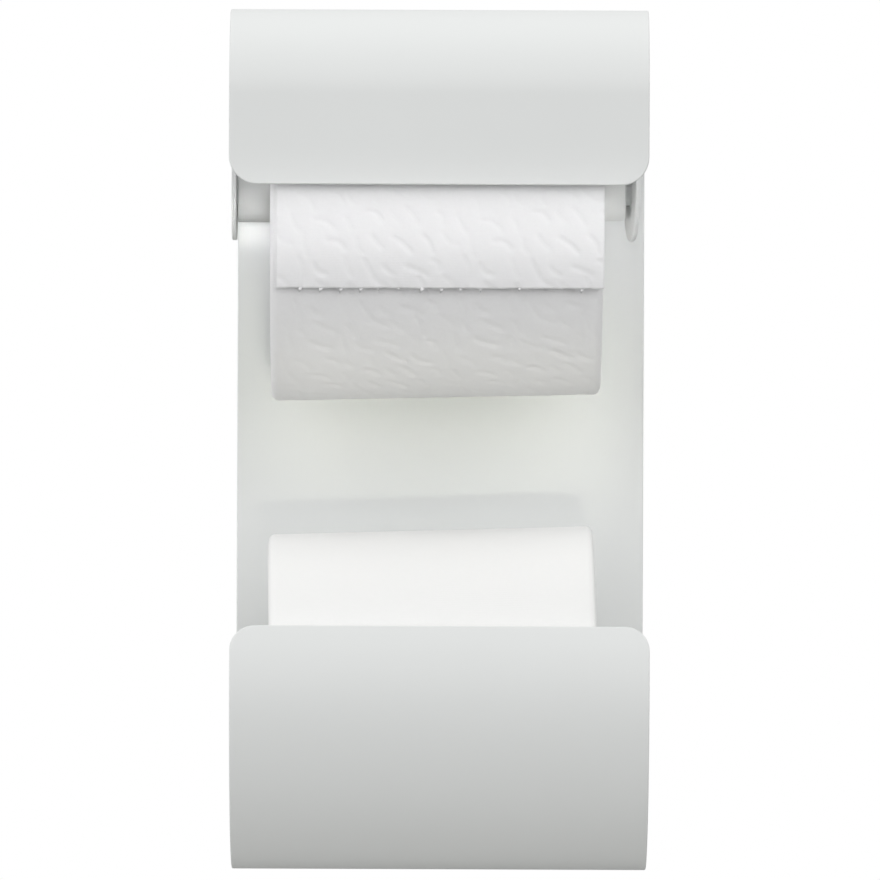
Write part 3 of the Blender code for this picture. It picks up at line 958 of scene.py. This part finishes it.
@dataclass
class ArmBrackets:
    """The two straps under the hood that hold the spindle. The right one stands a little turned."""

    thickness: float = 1.5 * MM
    width: float = 31 * MM
    bend: float = 3 * MM
    flange_corner: float = 3 * MM
    flange_margin: float = 5 * MM
    peg_hole: float = 4.9 * MM
    stud_radius: float = 2 * MM
    tip_flat: float = 0.01 * MM
    slot_play: float = 0.3 * MM
    right_turn: float = math.radians(6)

    def build(self, coat: Material) -> None:
        """Fold both straps and mount them.

        Args:
            coat: The powder coat.
        """
        axis = middle_of("spindle_outer_tube")
        left_x = box_of("left_arm")[0].x + self.thickness / 2
        right_x = (
            box_of("right_arm")[1].x
            - math.cos(self.right_turn) * self.thickness / 2
            - math.sin(self.right_turn) * self.width / 2
        )
        left_reach = abs(middle_of("arm_nut_left").x - left_x)
        right_reach = abs(middle_of("arm_nut_right").x - right_x)
        slot_radius = self.stud_radius + self.slot_play + right_reach * math.sin(self.right_turn)
        reaches = sorted((left_reach, right_reach * math.cos(self.right_turn)))
        half = self.width / 2
        outer = self.thickness / 2
        rise = box_of("left_arm")[1].z - axis.z
        reach = reaches[1] + slot_radius + self.flange_margin
        path = FoldPath(
            (outer, -half),
            QUARTER_TURN,
            (
                Fold(half + rise - self.bend),
                Fold(self.bend * QUARTER_TURN, self.bend),
                Fold(reach + outer - self.bend),
            ),
        )
        to_flange = half + rise - self.bend + self.bend * QUARTER_TURN
        slot = [to_flange + outer - self.bend + place for place in reaches]
        for name, x, turn in (
            ("left_arm", left_x, QUARTER_TURN),
            ("right_arm", right_x, self.right_turn - QUARTER_TURN),
        ):
            holes = [Hole(0.0, half, half, self.peg_hole), Hole(0.0, slot[0], slot[1], slot_radius)]
            sheet = BentSheet(half, self.thickness, path, half - self.tip_flat, self.flange_corner, holes)
            placing = Matrix.Translation((x, axis.y, axis.z)) @ Matrix.Rotation(turn, 4, "Z")
            # The sheet lies to the right of its path, so this flip centres it on the strap's own plane
            mesh = sheet.build(lambda width, point: placing @ Vector((width, 2 * outer - point.x, point.y)))
            add_piece(name + "_strap", mesh, coat, Body.HOLDER, Slot.COATED_STEEL, name)


@dataclass
class Fasteners:
    """The studs with their rolled threads, and a washer and a nut on each."""

    stud_radius: float = 2 * MM
    thread_pitch: float = 0.7 * MM
    thread_depth: float = 0.32 * MM
    thread_steps: int = 18
    thread_sides: int = 4
    weld_flare: float = 0.5 * MM
    weld_depth: float = 0.5 * MM
    stud_tip: float = 0.5 * MM
    stud_softness: float = 0.15 * MM
    stud_sides: int = 24
    past_nut: float = 0.5 * MM
    sheet_thickness: float = 1.5 * MM
    across_flats: float = 7 * MM
    nut_height: float = 2.4 * MM
    nut_chamfer: float = math.radians(30)
    nut_face_share: float = 0.96
    bore_chamfer: float = 0.15 * MM
    washer_height: float = 0.8 * MM
    washer_play: float = 0.2 * MM
    washer_softness: float = 0.2 * MM
    hood_washer: float = 4.5 * MM
    arm_washer: float = 6.5 * MM
    play: float = 0.08 * MM
    sides: int = 36

    def stud_mesh(self, length: float, finish: Material) -> Mesh:
        """Make one stud along Z from its weld, with a ridge wound round its core.

        Args:
            length: The stud's length from the sheet to its tip.
            finish: Its material.

        Returns:
            The mesh.
        """
        core = self.stud_radius - self.thread_depth
        foot = self.stud_radius + self.weld_flare
        profile = [
            (-self.weld_depth, 0.0),
            (-self.weld_depth, foot),
            (0.0, foot),
            (self.weld_flare, core),
            (length - self.stud_tip, core),
            (length, core - self.stud_tip),
            (length, 0.0),
        ]
        bm = turn_profile(soften(profile, self.stud_softness), self.stud_sides, False)
        bm.transform(TO_UPRIGHT)
        turns = (length - 2 * self.weld_flare - self.stud_tip) / self.thread_pitch
        points = []
        for index in range(int(turns * self.thread_steps)):
            angle = math.tau * index / self.thread_steps
            rise = 2 * self.weld_flare + self.thread_pitch * index / self.thread_steps
            points.append((core * math.cos(angle), core * math.sin(angle), rise))
        path = line_mesh(points, True)
        sizes = {"wire_radius": self.thread_depth, "sides": self.thread_sides}
        ridge = grow(wire_along_path, path, **sizes, finish=finish)
        bm.from_mesh(ridge)
        bpy.data.meshes.remove(ridge)
        return mesh_from(bm)

    def nut_mesh(self) -> Mesh:
        """Make one chamfered hexagon nut that stands on the XY plane.

        Returns:
            The mesh.
        """
        bm = bmesh.new()
        bore = self.stud_radius + self.play
        flat = self.across_flats / 2
        face = flat * self.nut_face_share
        one_flat = HALF_TURN / 3
        sections = []
        for step in range(self.sides):
            angle = math.tau * step / self.sides
            from_flat = (angle + one_flat / 2) % one_flat - one_flat / 2
            corner = flat / math.cos(from_flat)
            cut = (corner - face) * math.tan(self.nut_chamfer)
            section = (
                (bore, self.bore_chamfer),
                (face, 0.0),
                (corner, cut),
                (corner, self.nut_height - cut),
                (face, self.nut_height),
                (bore, self.nut_height - self.bore_chamfer),
            )
            way = Vector((math.cos(angle), math.sin(angle)))
            sections.append([bm.verts.new((*(radius * way), level)) for radius, level in section])
        rings = list(zip(*sections))
        for ring, following in zip(rings, rings[1:] + rings[:1]):
            bridge(bm, ring, following)
        return mesh_from(bm)

    def washer_mesh(self, radius: float) -> Mesh:
        """Make one washer with its stamped edge rounded, which stands on the XY plane.

        Args:
            radius: Its outer radius.

        Returns:
            The mesh.
        """
        bore = self.stud_radius + self.washer_play
        profile = [(0.0, bore), (0.0, radius), (self.washer_height, radius), (self.washer_height, bore)]
        bm = turn_profile(soften(profile, self.washer_softness, closed=True), self.sides, True)
        return mesh_from(bm, TO_UPRIGHT)

    def build(self, coat: Material, zinc: Material) -> None:
        """Place the studs, washers and nuts under the hood and on the panel.

        Args:
            coat: The powder coat, which covers the studs.
            zinc: The plating of the washers and nuts.
        """
        for group, turn, washer in (
            ("hood", Euler((QUARTER_TURN, 0, 0)), self.hood_washer),
            ("arm", Euler((HALF_TURN, 0, 0)), self.arm_washer),
        ):
            away = turn.to_matrix() @ Vector((0, 0, 1))
            for kind, mesh in (("washer", self.washer_mesh(washer)), ("nut", self.nut_mesh())):
                nodes = [f"{group}_{kind}_{side}" for side in SIDES]
                low, high = box_of(nodes[0])
                half = abs((high - low).dot(away)) / 2
                seats = [middle_of(node) - away * half for node in nodes]
                placed = place_items(mesh, seats, turn, zinc)
                add_piece(f"{group}_{kind}s", placed, zinc, Body.HOLDER, Slot.ZINC_PLATED_STEEL, *nodes)
            self.build_studs(group, turn, away, coat)

    def build_studs(self, group: str, turn: Euler, away: Vector, coat: Material) -> None:
        """Place the two studs of one group, from their sheet through the nuts.

        Args:
            group: The name of what they hold.
            turn: How they are turned.
            away: The direction that they point in.
            coat: The sheet's own coat, which covers them.
        """
        outside = box_of("back_panel")[1].y if group == "hood" else box_of("hood_cover")[1].z
        sheet = outside - self.sheet_thickness
        roots = []
        for side in SIDES:
            nut = middle_of(f"{group}_nut_{side}")
            roots.append(Vector((nut.x, sheet, nut.z)) if group == "hood" else Vector((nut.x, nut.y, sheet)))
        to_nut = abs((middle_of(f"{group}_nut_left") - roots[0]).dot(away))
        reach = to_nut + self.nut_height / 2 + self.past_nut
        studs = place_items(self.stud_mesh(reach, coat), roots, turn, coat)
        add_piece(f"{group}_studs", studs, coat, Body.HOLDER, Slot.COATED_STEEL, flats=False)


# The spindle

@dataclass
class Spindle:
    """The sprung spindle: two tubes that slide in each other, and the spring between them."""

    wall: float = 0.6 * MM
    end_wall: float = 1.5 * MM
    edge: float = 0.5 * MM
    peg_radius: float = 4.5 * MM
    peg_chamfer: float = 0.6 * MM
    arm_thickness: float = 1.5 * MM
    arm_gap: float = 0.3 * MM
    thin_tube_shown: float = 47 * MM
    wire_radius: float = 0.5 * MM
    wire_sides: int = 10
    wire_steps: int = 28
    turns: int = 9
    close_pitch: float = 1.6 * MM
    travel: float = 12 * MM
    sides: int = 96

    def tube(self, node: str, peg: float, shoulder: float, mouth: float) -> Mesh:
        """Make one tube with its closed end and peg.

        Args:
            node: The frame's piece, which gives the axis and the radius.
            peg: Where the peg ends.
            shoulder: Where the tube's closed end is.
            mouth: Where the tube is open.

        Returns:
            The mesh, in place.
        """
        low, high = box_of(node)
        radius = (high.z - low.z) / 2
        way = math.copysign(1.0, mouth - peg)
        bore = radius - self.wall
        outside = [
            (peg, 0.0),
            (peg, self.peg_radius - self.peg_chamfer),
            (peg + way * self.peg_chamfer, self.peg_radius),
            (shoulder, self.peg_radius),
            (shoulder, radius),
            (mouth, radius),
            (mouth, bore),
            (shoulder + way * self.end_wall, bore),
            (shoulder + way * self.end_wall, 0.0),
        ]
        axis = middle_of(node)
        bm = turn_profile(soften(outside, self.edge), self.sides, False)
        return mesh_from(bm, Matrix.Translation((0, axis.y, axis.z)))

    def build(self, coat: Material, wire: Material) -> None:
        """Make both tubes and the spring, and mount them.

        Args:
            coat: The tubes' powder coat.
            wire: The spring's finish.
        """
        outer_low, outer_high = box_of("spindle_outer_tube")
        inner_low, inner_high = box_of("spindle_inner_tube")
        left = box_of("left_arm")[0].x + self.arm_thickness + self.arm_gap
        right = outer_high.x + self.thin_tube_shown
        thick = self.tube("spindle_outer_tube", outer_low.x, left, outer_high.x)
        thin = self.tube("spindle_inner_tube", inner_high.x, right, inner_low.x)
        steel = Slot.COATED_STEEL
        add_piece("spindle_thick_tube", thick, coat, Body.SPINDLE, steel, "spindle_outer_tube")
        add_piece("spindle_thin_tube", thin, coat, Body.SPINDLE_END, steel, "spindle_inner_tube")
        self.build_spring(wire)

    def build_spring(self, wire: Material) -> None:
        """Wind the spring, with a close turn at each end.

        Args:
            wire: Its finish.
        """
        low, high = box_of("spindle_spring")
        axis = middle_of("spindle_spring")
        radius = box_of("spindle_inner_tube")[1].z - axis.z - self.wall / 2 - self.wire_radius / 2
        first = low.x + self.wire_radius
        last = high.x - self.wire_radius
        open_turns = self.turns - 2
        open_pitch = (last - first - 2 * self.close_pitch) / open_turns
        points = []
        for index in range(self.turns * self.wire_steps + 1):
            turn = index / self.wire_steps
            opened = min(max(turn - 1, 0), open_turns)
            along = first + (turn - opened) * self.close_pitch + opened * open_pitch
            angle = math.tau * turn
            points.append((along, axis.y + radius * math.cos(angle), axis.z + radius * math.sin(angle)))
        sizes = {"wire_radius": self.wire_radius, "sides": self.wire_sides}
        mesh = grow(wire_along_path, line_mesh(points, True), **sizes, finish=wire)
        rides = (Body.SPINDLE, Slot.SPRING_STEEL, "spindle_spring")
        spring = add_piece("spindle_coil", mesh, wire, *rides, flats=False)
        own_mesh(spring)


# The paper

@dataclass(frozen=True)
class QuiltPattern:
    """Soft strokes pressed into the paper, staggered over a tile that repeats across it and along it."""

    tile_width: float
    tile_length: float
    columns: int = 7
    rows: int = 6
    stroke: float = 5.6 * MM
    stroke_spread: float = 2.2 * MM
    bow: float = 1.1 * MM
    press_width: float = 0.62 * MM
    depth: float = 0.55 * MM
    weakest: float = 0.5
    pillow: float = 0.06 * MM
    pillows: int = 3
    pillow_shift: tuple[float, float] = (0.8, 0.3)
    stray: float = 1.6 * MM
    angle: float = math.radians(48)
    angle_spread: float = math.radians(34)
    seed: int = 11

    def press(self, across: np.ndarray, along: np.ndarray) -> np.ndarray:
        """How deep the paper is pressed.

        Args:
            across: Places across the paper.
            along: Places along it, of the same shape.

        Returns:
            The depth below the unpressed face at each place, never negative.
        """
        random = np.random.default_rng(self.seed)
        strokes = np.zeros_like(across)
        step_across = self.tile_width / self.columns
        step_along = self.tile_length / self.rows
        for row in range(self.rows):
            for column in range(self.columns):
                stray = random.uniform(-self.stray, self.stray, 2)
                stagger = (row % 2) / 2
                centre_across = (column + stagger) * step_across + stray[0]
                centre_along = row * step_along + stray[1]
                angle = self.angle + random.uniform(-self.angle_spread, self.angle_spread)
                half = (self.stroke + random.uniform(-self.stroke_spread, self.stroke_spread)) / 2
                bow = self.bow * random.uniform(-1.0, 1.0)
                strength = random.uniform(self.weakest, 1.0)
                x = (across - centre_across + self.tile_width / 2) % self.tile_width - self.tile_width / 2
                y = (along - centre_along + self.tile_length / 2) % self.tile_length - self.tile_length / 2
                run = x * math.cos(angle) + y * math.sin(angle)
                off_line = y * math.cos(angle) - x * math.sin(angle)
                off_bow = off_line - bow * (1 - (run / half) ** 2)
                past = np.maximum(np.abs(run) - half, 0.0)
                away = np.where(past > 0, off_line, off_bow) ** 2 + past ** 2
                strokes = np.maximum(strokes, strength * np.exp(-away / (2 * self.press_width ** 2)))
        waves_across = math.tau * self.pillows * across / self.tile_width + self.pillow_shift[0]
        waves_along = math.tau * self.pillows * along / self.tile_length + self.pillow_shift[1]
        pillow = (1 - np.sin(waves_across) * np.sin(waves_along)) / 2
        return self.depth * strokes + self.pillow * pillow


def grid_mesh(points: np.ndarray, web: np.ndarray) -> Mesh:
    """Make a closed mesh from a grid of points that joins up both ways.

    Args:
        points: Places, as rows by columns by three.
        web: Places on the flat paper, with one row and one column more than points, so that it has no seam.

    Returns:
        The mesh, with its map of the flat paper.
    """
    rows, columns = points.shape[:2]
    row, column = np.meshgrid(np.arange(rows), np.arange(columns), indexing="ij")
    corners = [(row, column), (row, column + 1), (row + 1, column + 1), (row + 1, column)]
    faces = np.stack([(r % rows) * columns + c % columns for r, c in corners], axis=-1).reshape(-1, 4)
    mesh = bpy.data.meshes.new("paper")
    mesh.from_pydata(points.reshape(-1, 3).tolist(), [], faces.tolist())
    flat = np.stack([web[r, c] for r, c in corners], axis=-2).reshape(-1, 2)
    mesh.uv_layers.new(name=WEB_MAP).uv.foreach_set("vector", flat.astype(np.float32).ravel())
    return mesh


@dataclass
class PaperRoll:
    """A roll of wound paper on its cardboard core. Its layers end at slightly different depths."""

    prefix: str
    body: Body
    slot: Slot
    width: float
    radius: float
    tilt: float
    sides: int
    columns: int
    quilt: QuiltPattern | None = None
    wound_step: float = 0.0
    lean: float = 0.0
    bore: float = 22.05 * MM
    core_bore: float = 21 * MM
    core_wall: float = 1 * MM
    core_edge: float = 0.25 * MM
    core_sides: int = 120
    edge: float = 2.2 * MM
    edge_steps: int = 5
    layers: int = 24
    layer_relief: float = 0.22 * MM
    seed: int = 5

    def placing(self) -> Matrix:
        """Say where the roll lies, with its left end lower.

        Returns:
            Its placing. With a lean, its ends aren't square to its axis.
        """
        leaning = Matrix.Identity(4)
        leaning[0][2] = self.lean
        at_middle = Matrix.Translation(middle_of(self.prefix + "_paper"))
        return at_middle @ leaning @ Matrix.Rotation(-self.tilt, 4, "Y")

    def section(self) -> tuple[np.ndarray, np.ndarray]:
        """Draw the paper's section from the bore round the left end, the outer face and the right end.

        Returns:
            The places along the axis and the radii.
        """
        half = self.width / 2
        random = np.random.default_rng(self.seed)
        turns = np.linspace(0.0, QUARTER_TURN, self.edge_steps + 1)[1:]
        radii = np.linspace(self.bore, self.radius - self.edge, self.layers)
        around = np.append(radii, self.radius - self.edge + self.edge * np.sin(turns))
        ends = []
        for _ in range(2):
            drops = random.uniform(0.0, self.layer_relief, self.layers)
            drops[-1] = 0.0
            ends.append(np.append(half - drops, half - self.edge + self.edge * np.cos(turns)))
        middle = np.linspace(-half + self.edge, half - self.edge, self.columns + 1)[1:-1]
        along = np.concatenate([-ends[0], middle, ends[1][::-1]])
        return along, np.concatenate([around, np.full(len(middle), self.radius), around[::-1]])

    def build(self, paper: Material, card: Material) -> None:
        """Make the paper and the core, and mount both.

        Args:
            paper: The paper's finish.
            card: The core's finish.
        """
        along, around = self.section()
        angles = math.tau * np.arange(self.sides + 1) / self.sides
        web_across = np.concatenate([along, along[:1]])
        web = np.stack(np.meshgrid(web_across, self.radius * angles, indexing="ij"), axis=-1)
        x, angle = np.meshgrid(along, angles[:-1], indexing="ij")
        radius = np.repeat(around[:, None], self.sides, axis=1)
        half = self.width / 2
        outer = np.clip((half - np.abs(x)) / (2 * self.edge), 0.0, 1.0) * (radius > self.radius - self.edge)
        if self.quilt:
            radius = radius - outer * self.quilt.press(x, self.radius * angle)
        radius = radius - (radius > self.radius - self.edge) * self.wound_step * angle / math.tau
        points = np.stack([x, radius * np.cos(angle), radius * np.sin(angle)], axis=-1)
        mesh = grid_mesh(points, web)
        mesh.transform(self.placing())
        turn_outwards(mesh)
        rides = (self.body, self.slot, self.prefix + "_paper")
        add_piece(self.prefix + "_wound_paper", mesh, paper, *rides, flats=False)
        outside = self.core_bore + self.core_wall
        profile = [(-half, self.core_bore), (-half, outside), (half, outside), (half, self.core_bore)]
        bm = turn_profile(soften(profile, self.core_edge, closed=True), self.core_sides, True)
        core = mesh_from(bm, self.placing())
        add_piece(self.prefix + "_card_core", core, card, self.body, Slot.CARDBOARD, self.prefix + "_core")


@dataclass
class PaperTail:
    """The paper's loose end, which lies on the roll under the hood and hangs down to its torn edge."""

    quilt: QuiltPattern
    wrap: float = math.radians(14)
    drop: float = 21.3 * MM
    thickness: float = 0.22 * MM
    cling: float = 0.65
    spacing: float = 0.6 * MM
    ragged: float = 0.28 * MM
    ragged_reach: float = 3 * MM
    knots: int = 46
    shred_spacing: float = 5.7 * MM
    shred_margin: float = 1 * MM
    shred_rise: float = 0.35 * MM
    shred_inset: float = 0.3 * MM
    shred_sides: int = 6
    shred_length: float = 1.6 * MM
    shred_width: float = 0.75 * MM
    shred_flatness: float = 0.16
    shred_sizes: tuple[float, float] = (0.45, 1.25)
    shred_stray: float = 0.9 * MM
    shred_slant: float = math.radians(28)
    shreds_kept: float = 0.9
    seed: int = 3

    def build(self, paper: Material) -> None:
        """Args:
            paper: The paper's finish.
        """
        low, high = box_of("paper_tail")
        roll = middle_of("roll_paper")
        radius = roll.y - low.y
        width = high.x - low.x
        middle = (low.x + high.x) / 2
        bend_length = radius * self.wrap
        length = bend_length + self.drop
        across = np.linspace(-width / 2, width / 2, round(width / self.spacing) + 1)
        along = np.linspace(0.0, length, round(length / self.spacing) + 1)
        x, down = np.meshgrid(across, along, indexing="ij")
        random = np.random.default_rng(self.seed)
        knots = np.linspace(-width / 2, width / 2, self.knots)
        ragged = np.interp(across, knots, random.uniform(0.0, self.ragged, self.knots))
        near_edge = np.clip((down - length + self.ragged_reach) / self.ragged_reach, 0.0, 1.0)
        down = down - near_edge * ragged[:, None]
        pressed = self.quilt.press(x, down)
        turn = HALF_TURN - self.wrap + np.minimum(down, bend_length) / radius
        hang = np.maximum(down - bend_length, 0.0)
        layers = []
        for depth in (pressed, pressed + self.thickness):
            reach = radius - depth
            y = roll.y + reach * np.cos(turn) + self.cling * (radius - np.sqrt(radius ** 2 - hang ** 2))
            z = roll.z + reach * np.sin(turn) - hang
            layers.append(np.stack([x + middle, y, z], axis=-1))
        mesh = self.closed_sheet(*layers, x, down)
        turn_outwards(mesh)
        rides = (Body.TAIL, Slot.QUILTED_PAPER)
        sheet = add_piece("quilted_tail", mesh, paper, *rides, "paper_tail", flats=False)
        fringe = add_piece("torn_edge_shreds", self.shreds(paper, radius), paper, *rides, flats=False)

    def shreds(self, paper: Material, radius: float) -> Mesh:
        """Scatter the shreds of the torn edge.

        Args:
            paper: The paper's finish.
            radius: The radius of the roll that the tail lies on.

        Returns:
            The mesh, in place.
        """
        low, high = box_of("paper_tail")
        middle = (low.x + high.x) / 2
        width = high.x - low.x
        edge_y = low.y + self.shred_inset + self.cling * (radius - math.sqrt(radius ** 2 - self.drop ** 2))
        reach = width / 2 - self.shred_margin
        places = np.linspace(-reach, reach, round(width / self.shred_spacing))
        mesh = grow(
            torn_edge,
            line_mesh([(middle + place, edge_y, low.z + self.shred_rise) for place in places], False),
            shred_sides=self.shred_sides,
            shred_length=self.shred_length,
            shred_width=self.shred_width,
            flatness=self.shred_flatness,
            smallest=self.shred_sizes[0],
            largest=self.shred_sizes[1],
            stray=self.shred_stray,
            slant=self.shred_slant,
            kept=self.shreds_kept,
            seed=self.seed,
            finish=paper,
        )
        mesh.uv_layers.new(name=WEB_MAP)
        return mesh

    def closed_sheet(self, front: np.ndarray, back: np.ndarray, x: np.ndarray, down: np.ndarray) -> Mesh:
        """Close two faces of a sheet round all four edges.

        Args:
            front: The front face's points, as columns by rows by three.
            back: The back face's points.
            x: The places across the paper.
            down: The places along it.

        Returns:
            The closed mesh with its map of the flat paper.
        """
        columns, rows = x.shape
        size = columns * rows
        number = np.arange(size).reshape(columns, rows)
        faces = []
        for grid, flipped in ((number, False), (number + size, True)):
            corners = [grid[:-1, :-1], grid[1:, :-1], grid[1:, 1:], grid[:-1, 1:]]
            quads = np.stack(corners, axis=-1).reshape(-1, 4)
            faces += (quads[:, ::-1] if flipped else quads).tolist()
        rim = [*number[:, 0], *number[-1, 1:], *number[-2::-1, -1], *number[0, -2:0:-1]]
        for a, b in zip(rim, rim[1:] + rim[:1]):
            faces.append([int(b), int(a), int(a + size), int(b + size)])
        mesh = bpy.data.meshes.new("sheet")
        points = np.concatenate([front.reshape(-1, 3), back.reshape(-1, 3)])
        mesh.from_pydata(points.tolist(), [], faces)
        flat = np.tile(np.stack([x.ravel(), down.ravel()], axis=-1), (2, 1))
        corner = np.zeros(len(mesh.loops), dtype=np.int32)
        mesh.loops.foreach_get("vertex_index", corner)
        mesh.uv_layers.new(name=WEB_MAP).uv.foreach_set("vector", flat[corner].astype(np.float32).ravel())
        return mesh


# The studio

@dataclass(frozen=True)
class Lamp:
    """One flat lamp that faces a point. A small spread keeps its light in a beam, as a grid would."""

    name: str
    place: tuple[float, float, float]
    aim: tuple[float, float, float]
    width: float
    height: float
    power: float
    spread: float = HALF_TURN
    colour: str = "#FFFFFF"

    def build(self) -> None:
        """Hang the lamp, out of the camera's sight."""
        light = bpy.data.lights.new(self.name, "AREA")
        light.shape = "RECTANGLE"
        light.size = self.width
        light.size_y = self.height
        light.energy = self.power
        light.spread = self.spread
        light.color = linear(self.colour)[:3]
        thing = bpy.data.objects.new(self.name, light)
        thing.location = self.place
        thing.rotation_euler = (Vector(self.aim) - Vector(self.place)).to_track_quat("-Z", "Y").to_euler()
        thing.visible_camera = False
        bpy.context.scene.collection.objects.link(thing)


@dataclass
class Studio:
    """A bright room with large soft boxes beside the camera, small fills for the gaps, and a pale floor.

    The bounce beside the right arm stands for the light that the roll's white end throws on it.
    """

    floor_z: float = -0.75
    floor_half: float = 0.8
    above: float = 0.82
    below: float = 0.02
    horizon: float = 0.12
    floor_colour: str = "#D6D6D4"
    floor_roughness: float = 0.9
    lamps: tuple[Lamp, ...] = (
        Lamp("soft_box_right", (1.4, -2.7, 0.80), (0.0, 0.0, 0.0), 2.2, 2.2, 22.5),
        Lamp("soft_box_left", (-1.4, -2.7, 0.80), (0.0, 0.0, 0.0), 2.2, 2.2, 14.0),
        Lamp("side_box_left", (-2.3, -0.3, 0.1), (0.0, 0.0, 0.0), 1.2, 1.2, 10.0),
        Lamp(
            "gap_fill",
            (0.02, -0.45, -0.07),
            (0.0, -0.03, 0.012),
            width=0.12,
            height=0.056,
            power=0.0058,
            spread=math.radians(8),
            colour="#FFFEEE",
        ),
        Lamp("lip_fill", (0.0, -0.45, 0.064), (0.0, 0.0, 0.065), 0.13, 0.02, 0.0014, math.radians(6)),
        Lamp(
            "left_arm_fill",
            (-0.059, -0.35, 0.064),
            (-0.059, 0.0, 0.068),
            width=0.01,
            height=0.014,
            power=0.00015,
            spread=math.radians(2),
        ),
        Lamp("right_arm_bounce", (0.0497, -0.07, 0.061), (0.06, -0.07, 0.061), 0.045, 0.026, 0.0021),
    )

    def build(self) -> None:
        """Make the surround, the floor and the lights."""
        scene = bpy.context.scene
        scene.view_settings.view_transform = "Standard"
        scene.world = bpy.data.worlds.new("bright_room")
        scene.world.use_nodes = True
        tree = scene.world.node_tree
        add = partial(add_node, tree)
        white = linear("#FFFFFF")
        height = add("ShaderNodeSeparateXYZ", {"Vector": add("ShaderNodeTexCoord").outputs["Generated"]})
        fade = {
            "Value": height.outputs["Z"],
            "From Min": -self.horizon,
            "From Max": self.horizon,
            "To Min": self.below,
            "To Max": self.above,
        }
        lit = tree.nodes["Background"]
        feed(lit, {"Color": white, "Strength": add("ShaderNodeMapRange", fade)})
        seen = add("ShaderNodeBackground", {"Color": white, "Strength": 1.0})
        by_camera = add("ShaderNodeLightPath").outputs["Is Camera Ray"]
        mixed = add("ShaderNodeMixShader", {0: by_camera, 1: lit, 2: seen})
        feed(tree.nodes["World Output"], {"Surface": mixed})
        self.build_floor()
        for lamp in self.lamps:
            lamp.build()

    def build_floor(self) -> None:
        """Make the pale floor."""
        half = self.floor_half
        mesh = bpy.data.meshes.new("floor")
        corners = [(x * half, y * half, self.floor_z) for x, y in ((-1, -1), (1, -1), (1, 1), (-1, 1))]
        mesh.from_pydata(corners, [], [(0, 1, 2, 3)])
        matt = Finish(name="pale_floor", colour=self.floor_colour, roughness=self.floor_roughness)
        new_object("studio_floor", mesh, matt.build())


@dataclass
class PhotoCamera:
    """A long lens straight in front of the holder, rolled by a hair."""

    place: tuple[float, float, float] = (-0.0001, -3.283, 0.0005)
    lens: float = 432.7
    film_width: float = 36.0
    roll: float = math.radians(0.234)

    def build(self) -> None:
        """Make the camera and choose it."""
        lens = bpy.data.cameras.new("photo_camera")
        lens.lens = self.lens
        lens.sensor_width = self.film_width
        camera = bpy.data.objects.new("photo_camera", lens)
        camera.location = self.place
        facing = Matrix.Rotation(QUARTER_TURN, 3, "X") @ Matrix.Rotation(self.roll, 3, "Z")
        camera.rotation_euler = facing.to_euler()
        bpy.context.scene.collection.objects.link(camera)
        bpy.context.scene.camera = camera


def main() -> None:
    """Build the holder's pieces, finishes, studio and camera."""
    logging.basicConfig(level=logging.INFO, format="%(message)s")
    PhotoCamera().build()
    Studio().build()
    coat = PowderCoat().build()
    zinc = PlatedSteel(name="bright_zinc_plate", colour="#D3D5DA", shade="#BFC1C8", roughness=0.3).build()
    wire = PlatedSteel(name="drawn_spring_wire", colour="#9C9DA2", shade="#85868C", roughness=0.32).build()
    BackPanel().build(coat)
    Hood().build(coat)
    ArmBrackets().build(coat)
    Fasteners().build(coat, zinc)
    Spindle().build(coat, wire)
    quilted = Tissue(name="quilted_tissue", colour="#F9F9FA", shade="#F4F4F5").build()
    smooth = Tissue(name="smooth_tissue", colour="#F8F8F7", shade="#F5F5F4", fibre_depth=0.02 * MM)
    roll_radius = 53.75 * MM
    tiles_round = 8
    quilt = QuiltPattern(tile_width=50 * MM, tile_length=math.tau * roll_radius / tiles_round)
    rolls = (
        PaperRoll(
            "roll",
            Body.ROLL,
            Slot.QUILTED_PAPER,
            width=100 * MM,
            radius=roll_radius,
            tilt=math.radians(1.3),
            sides=376,
            columns=110,
            quilt=quilt,
            lean=0.022,
        ),
        PaperRoll(
            "spare",
            Body.SPARE_ROLL,
            Slot.PLAIN_PAPER,
            width=98.7 * MM,
            radius=50.1 * MM,
            tilt=math.radians(1.7),
            sides=220,
            columns=24,
            wound_step=0.3 * MM,
        ),
    )
    for roll, paper in zip(rolls, (quilted, smooth.build())):
        centre = tuple(middle_of(roll.prefix + "_paper"))
        roll.build(paper, CoreCard(name=roll.prefix + "_grey_card", centre=centre, tilt=roll.tilt).build())
    PaperTail(quilt).build(quilted)


if __name__ == "__main__":
    main()
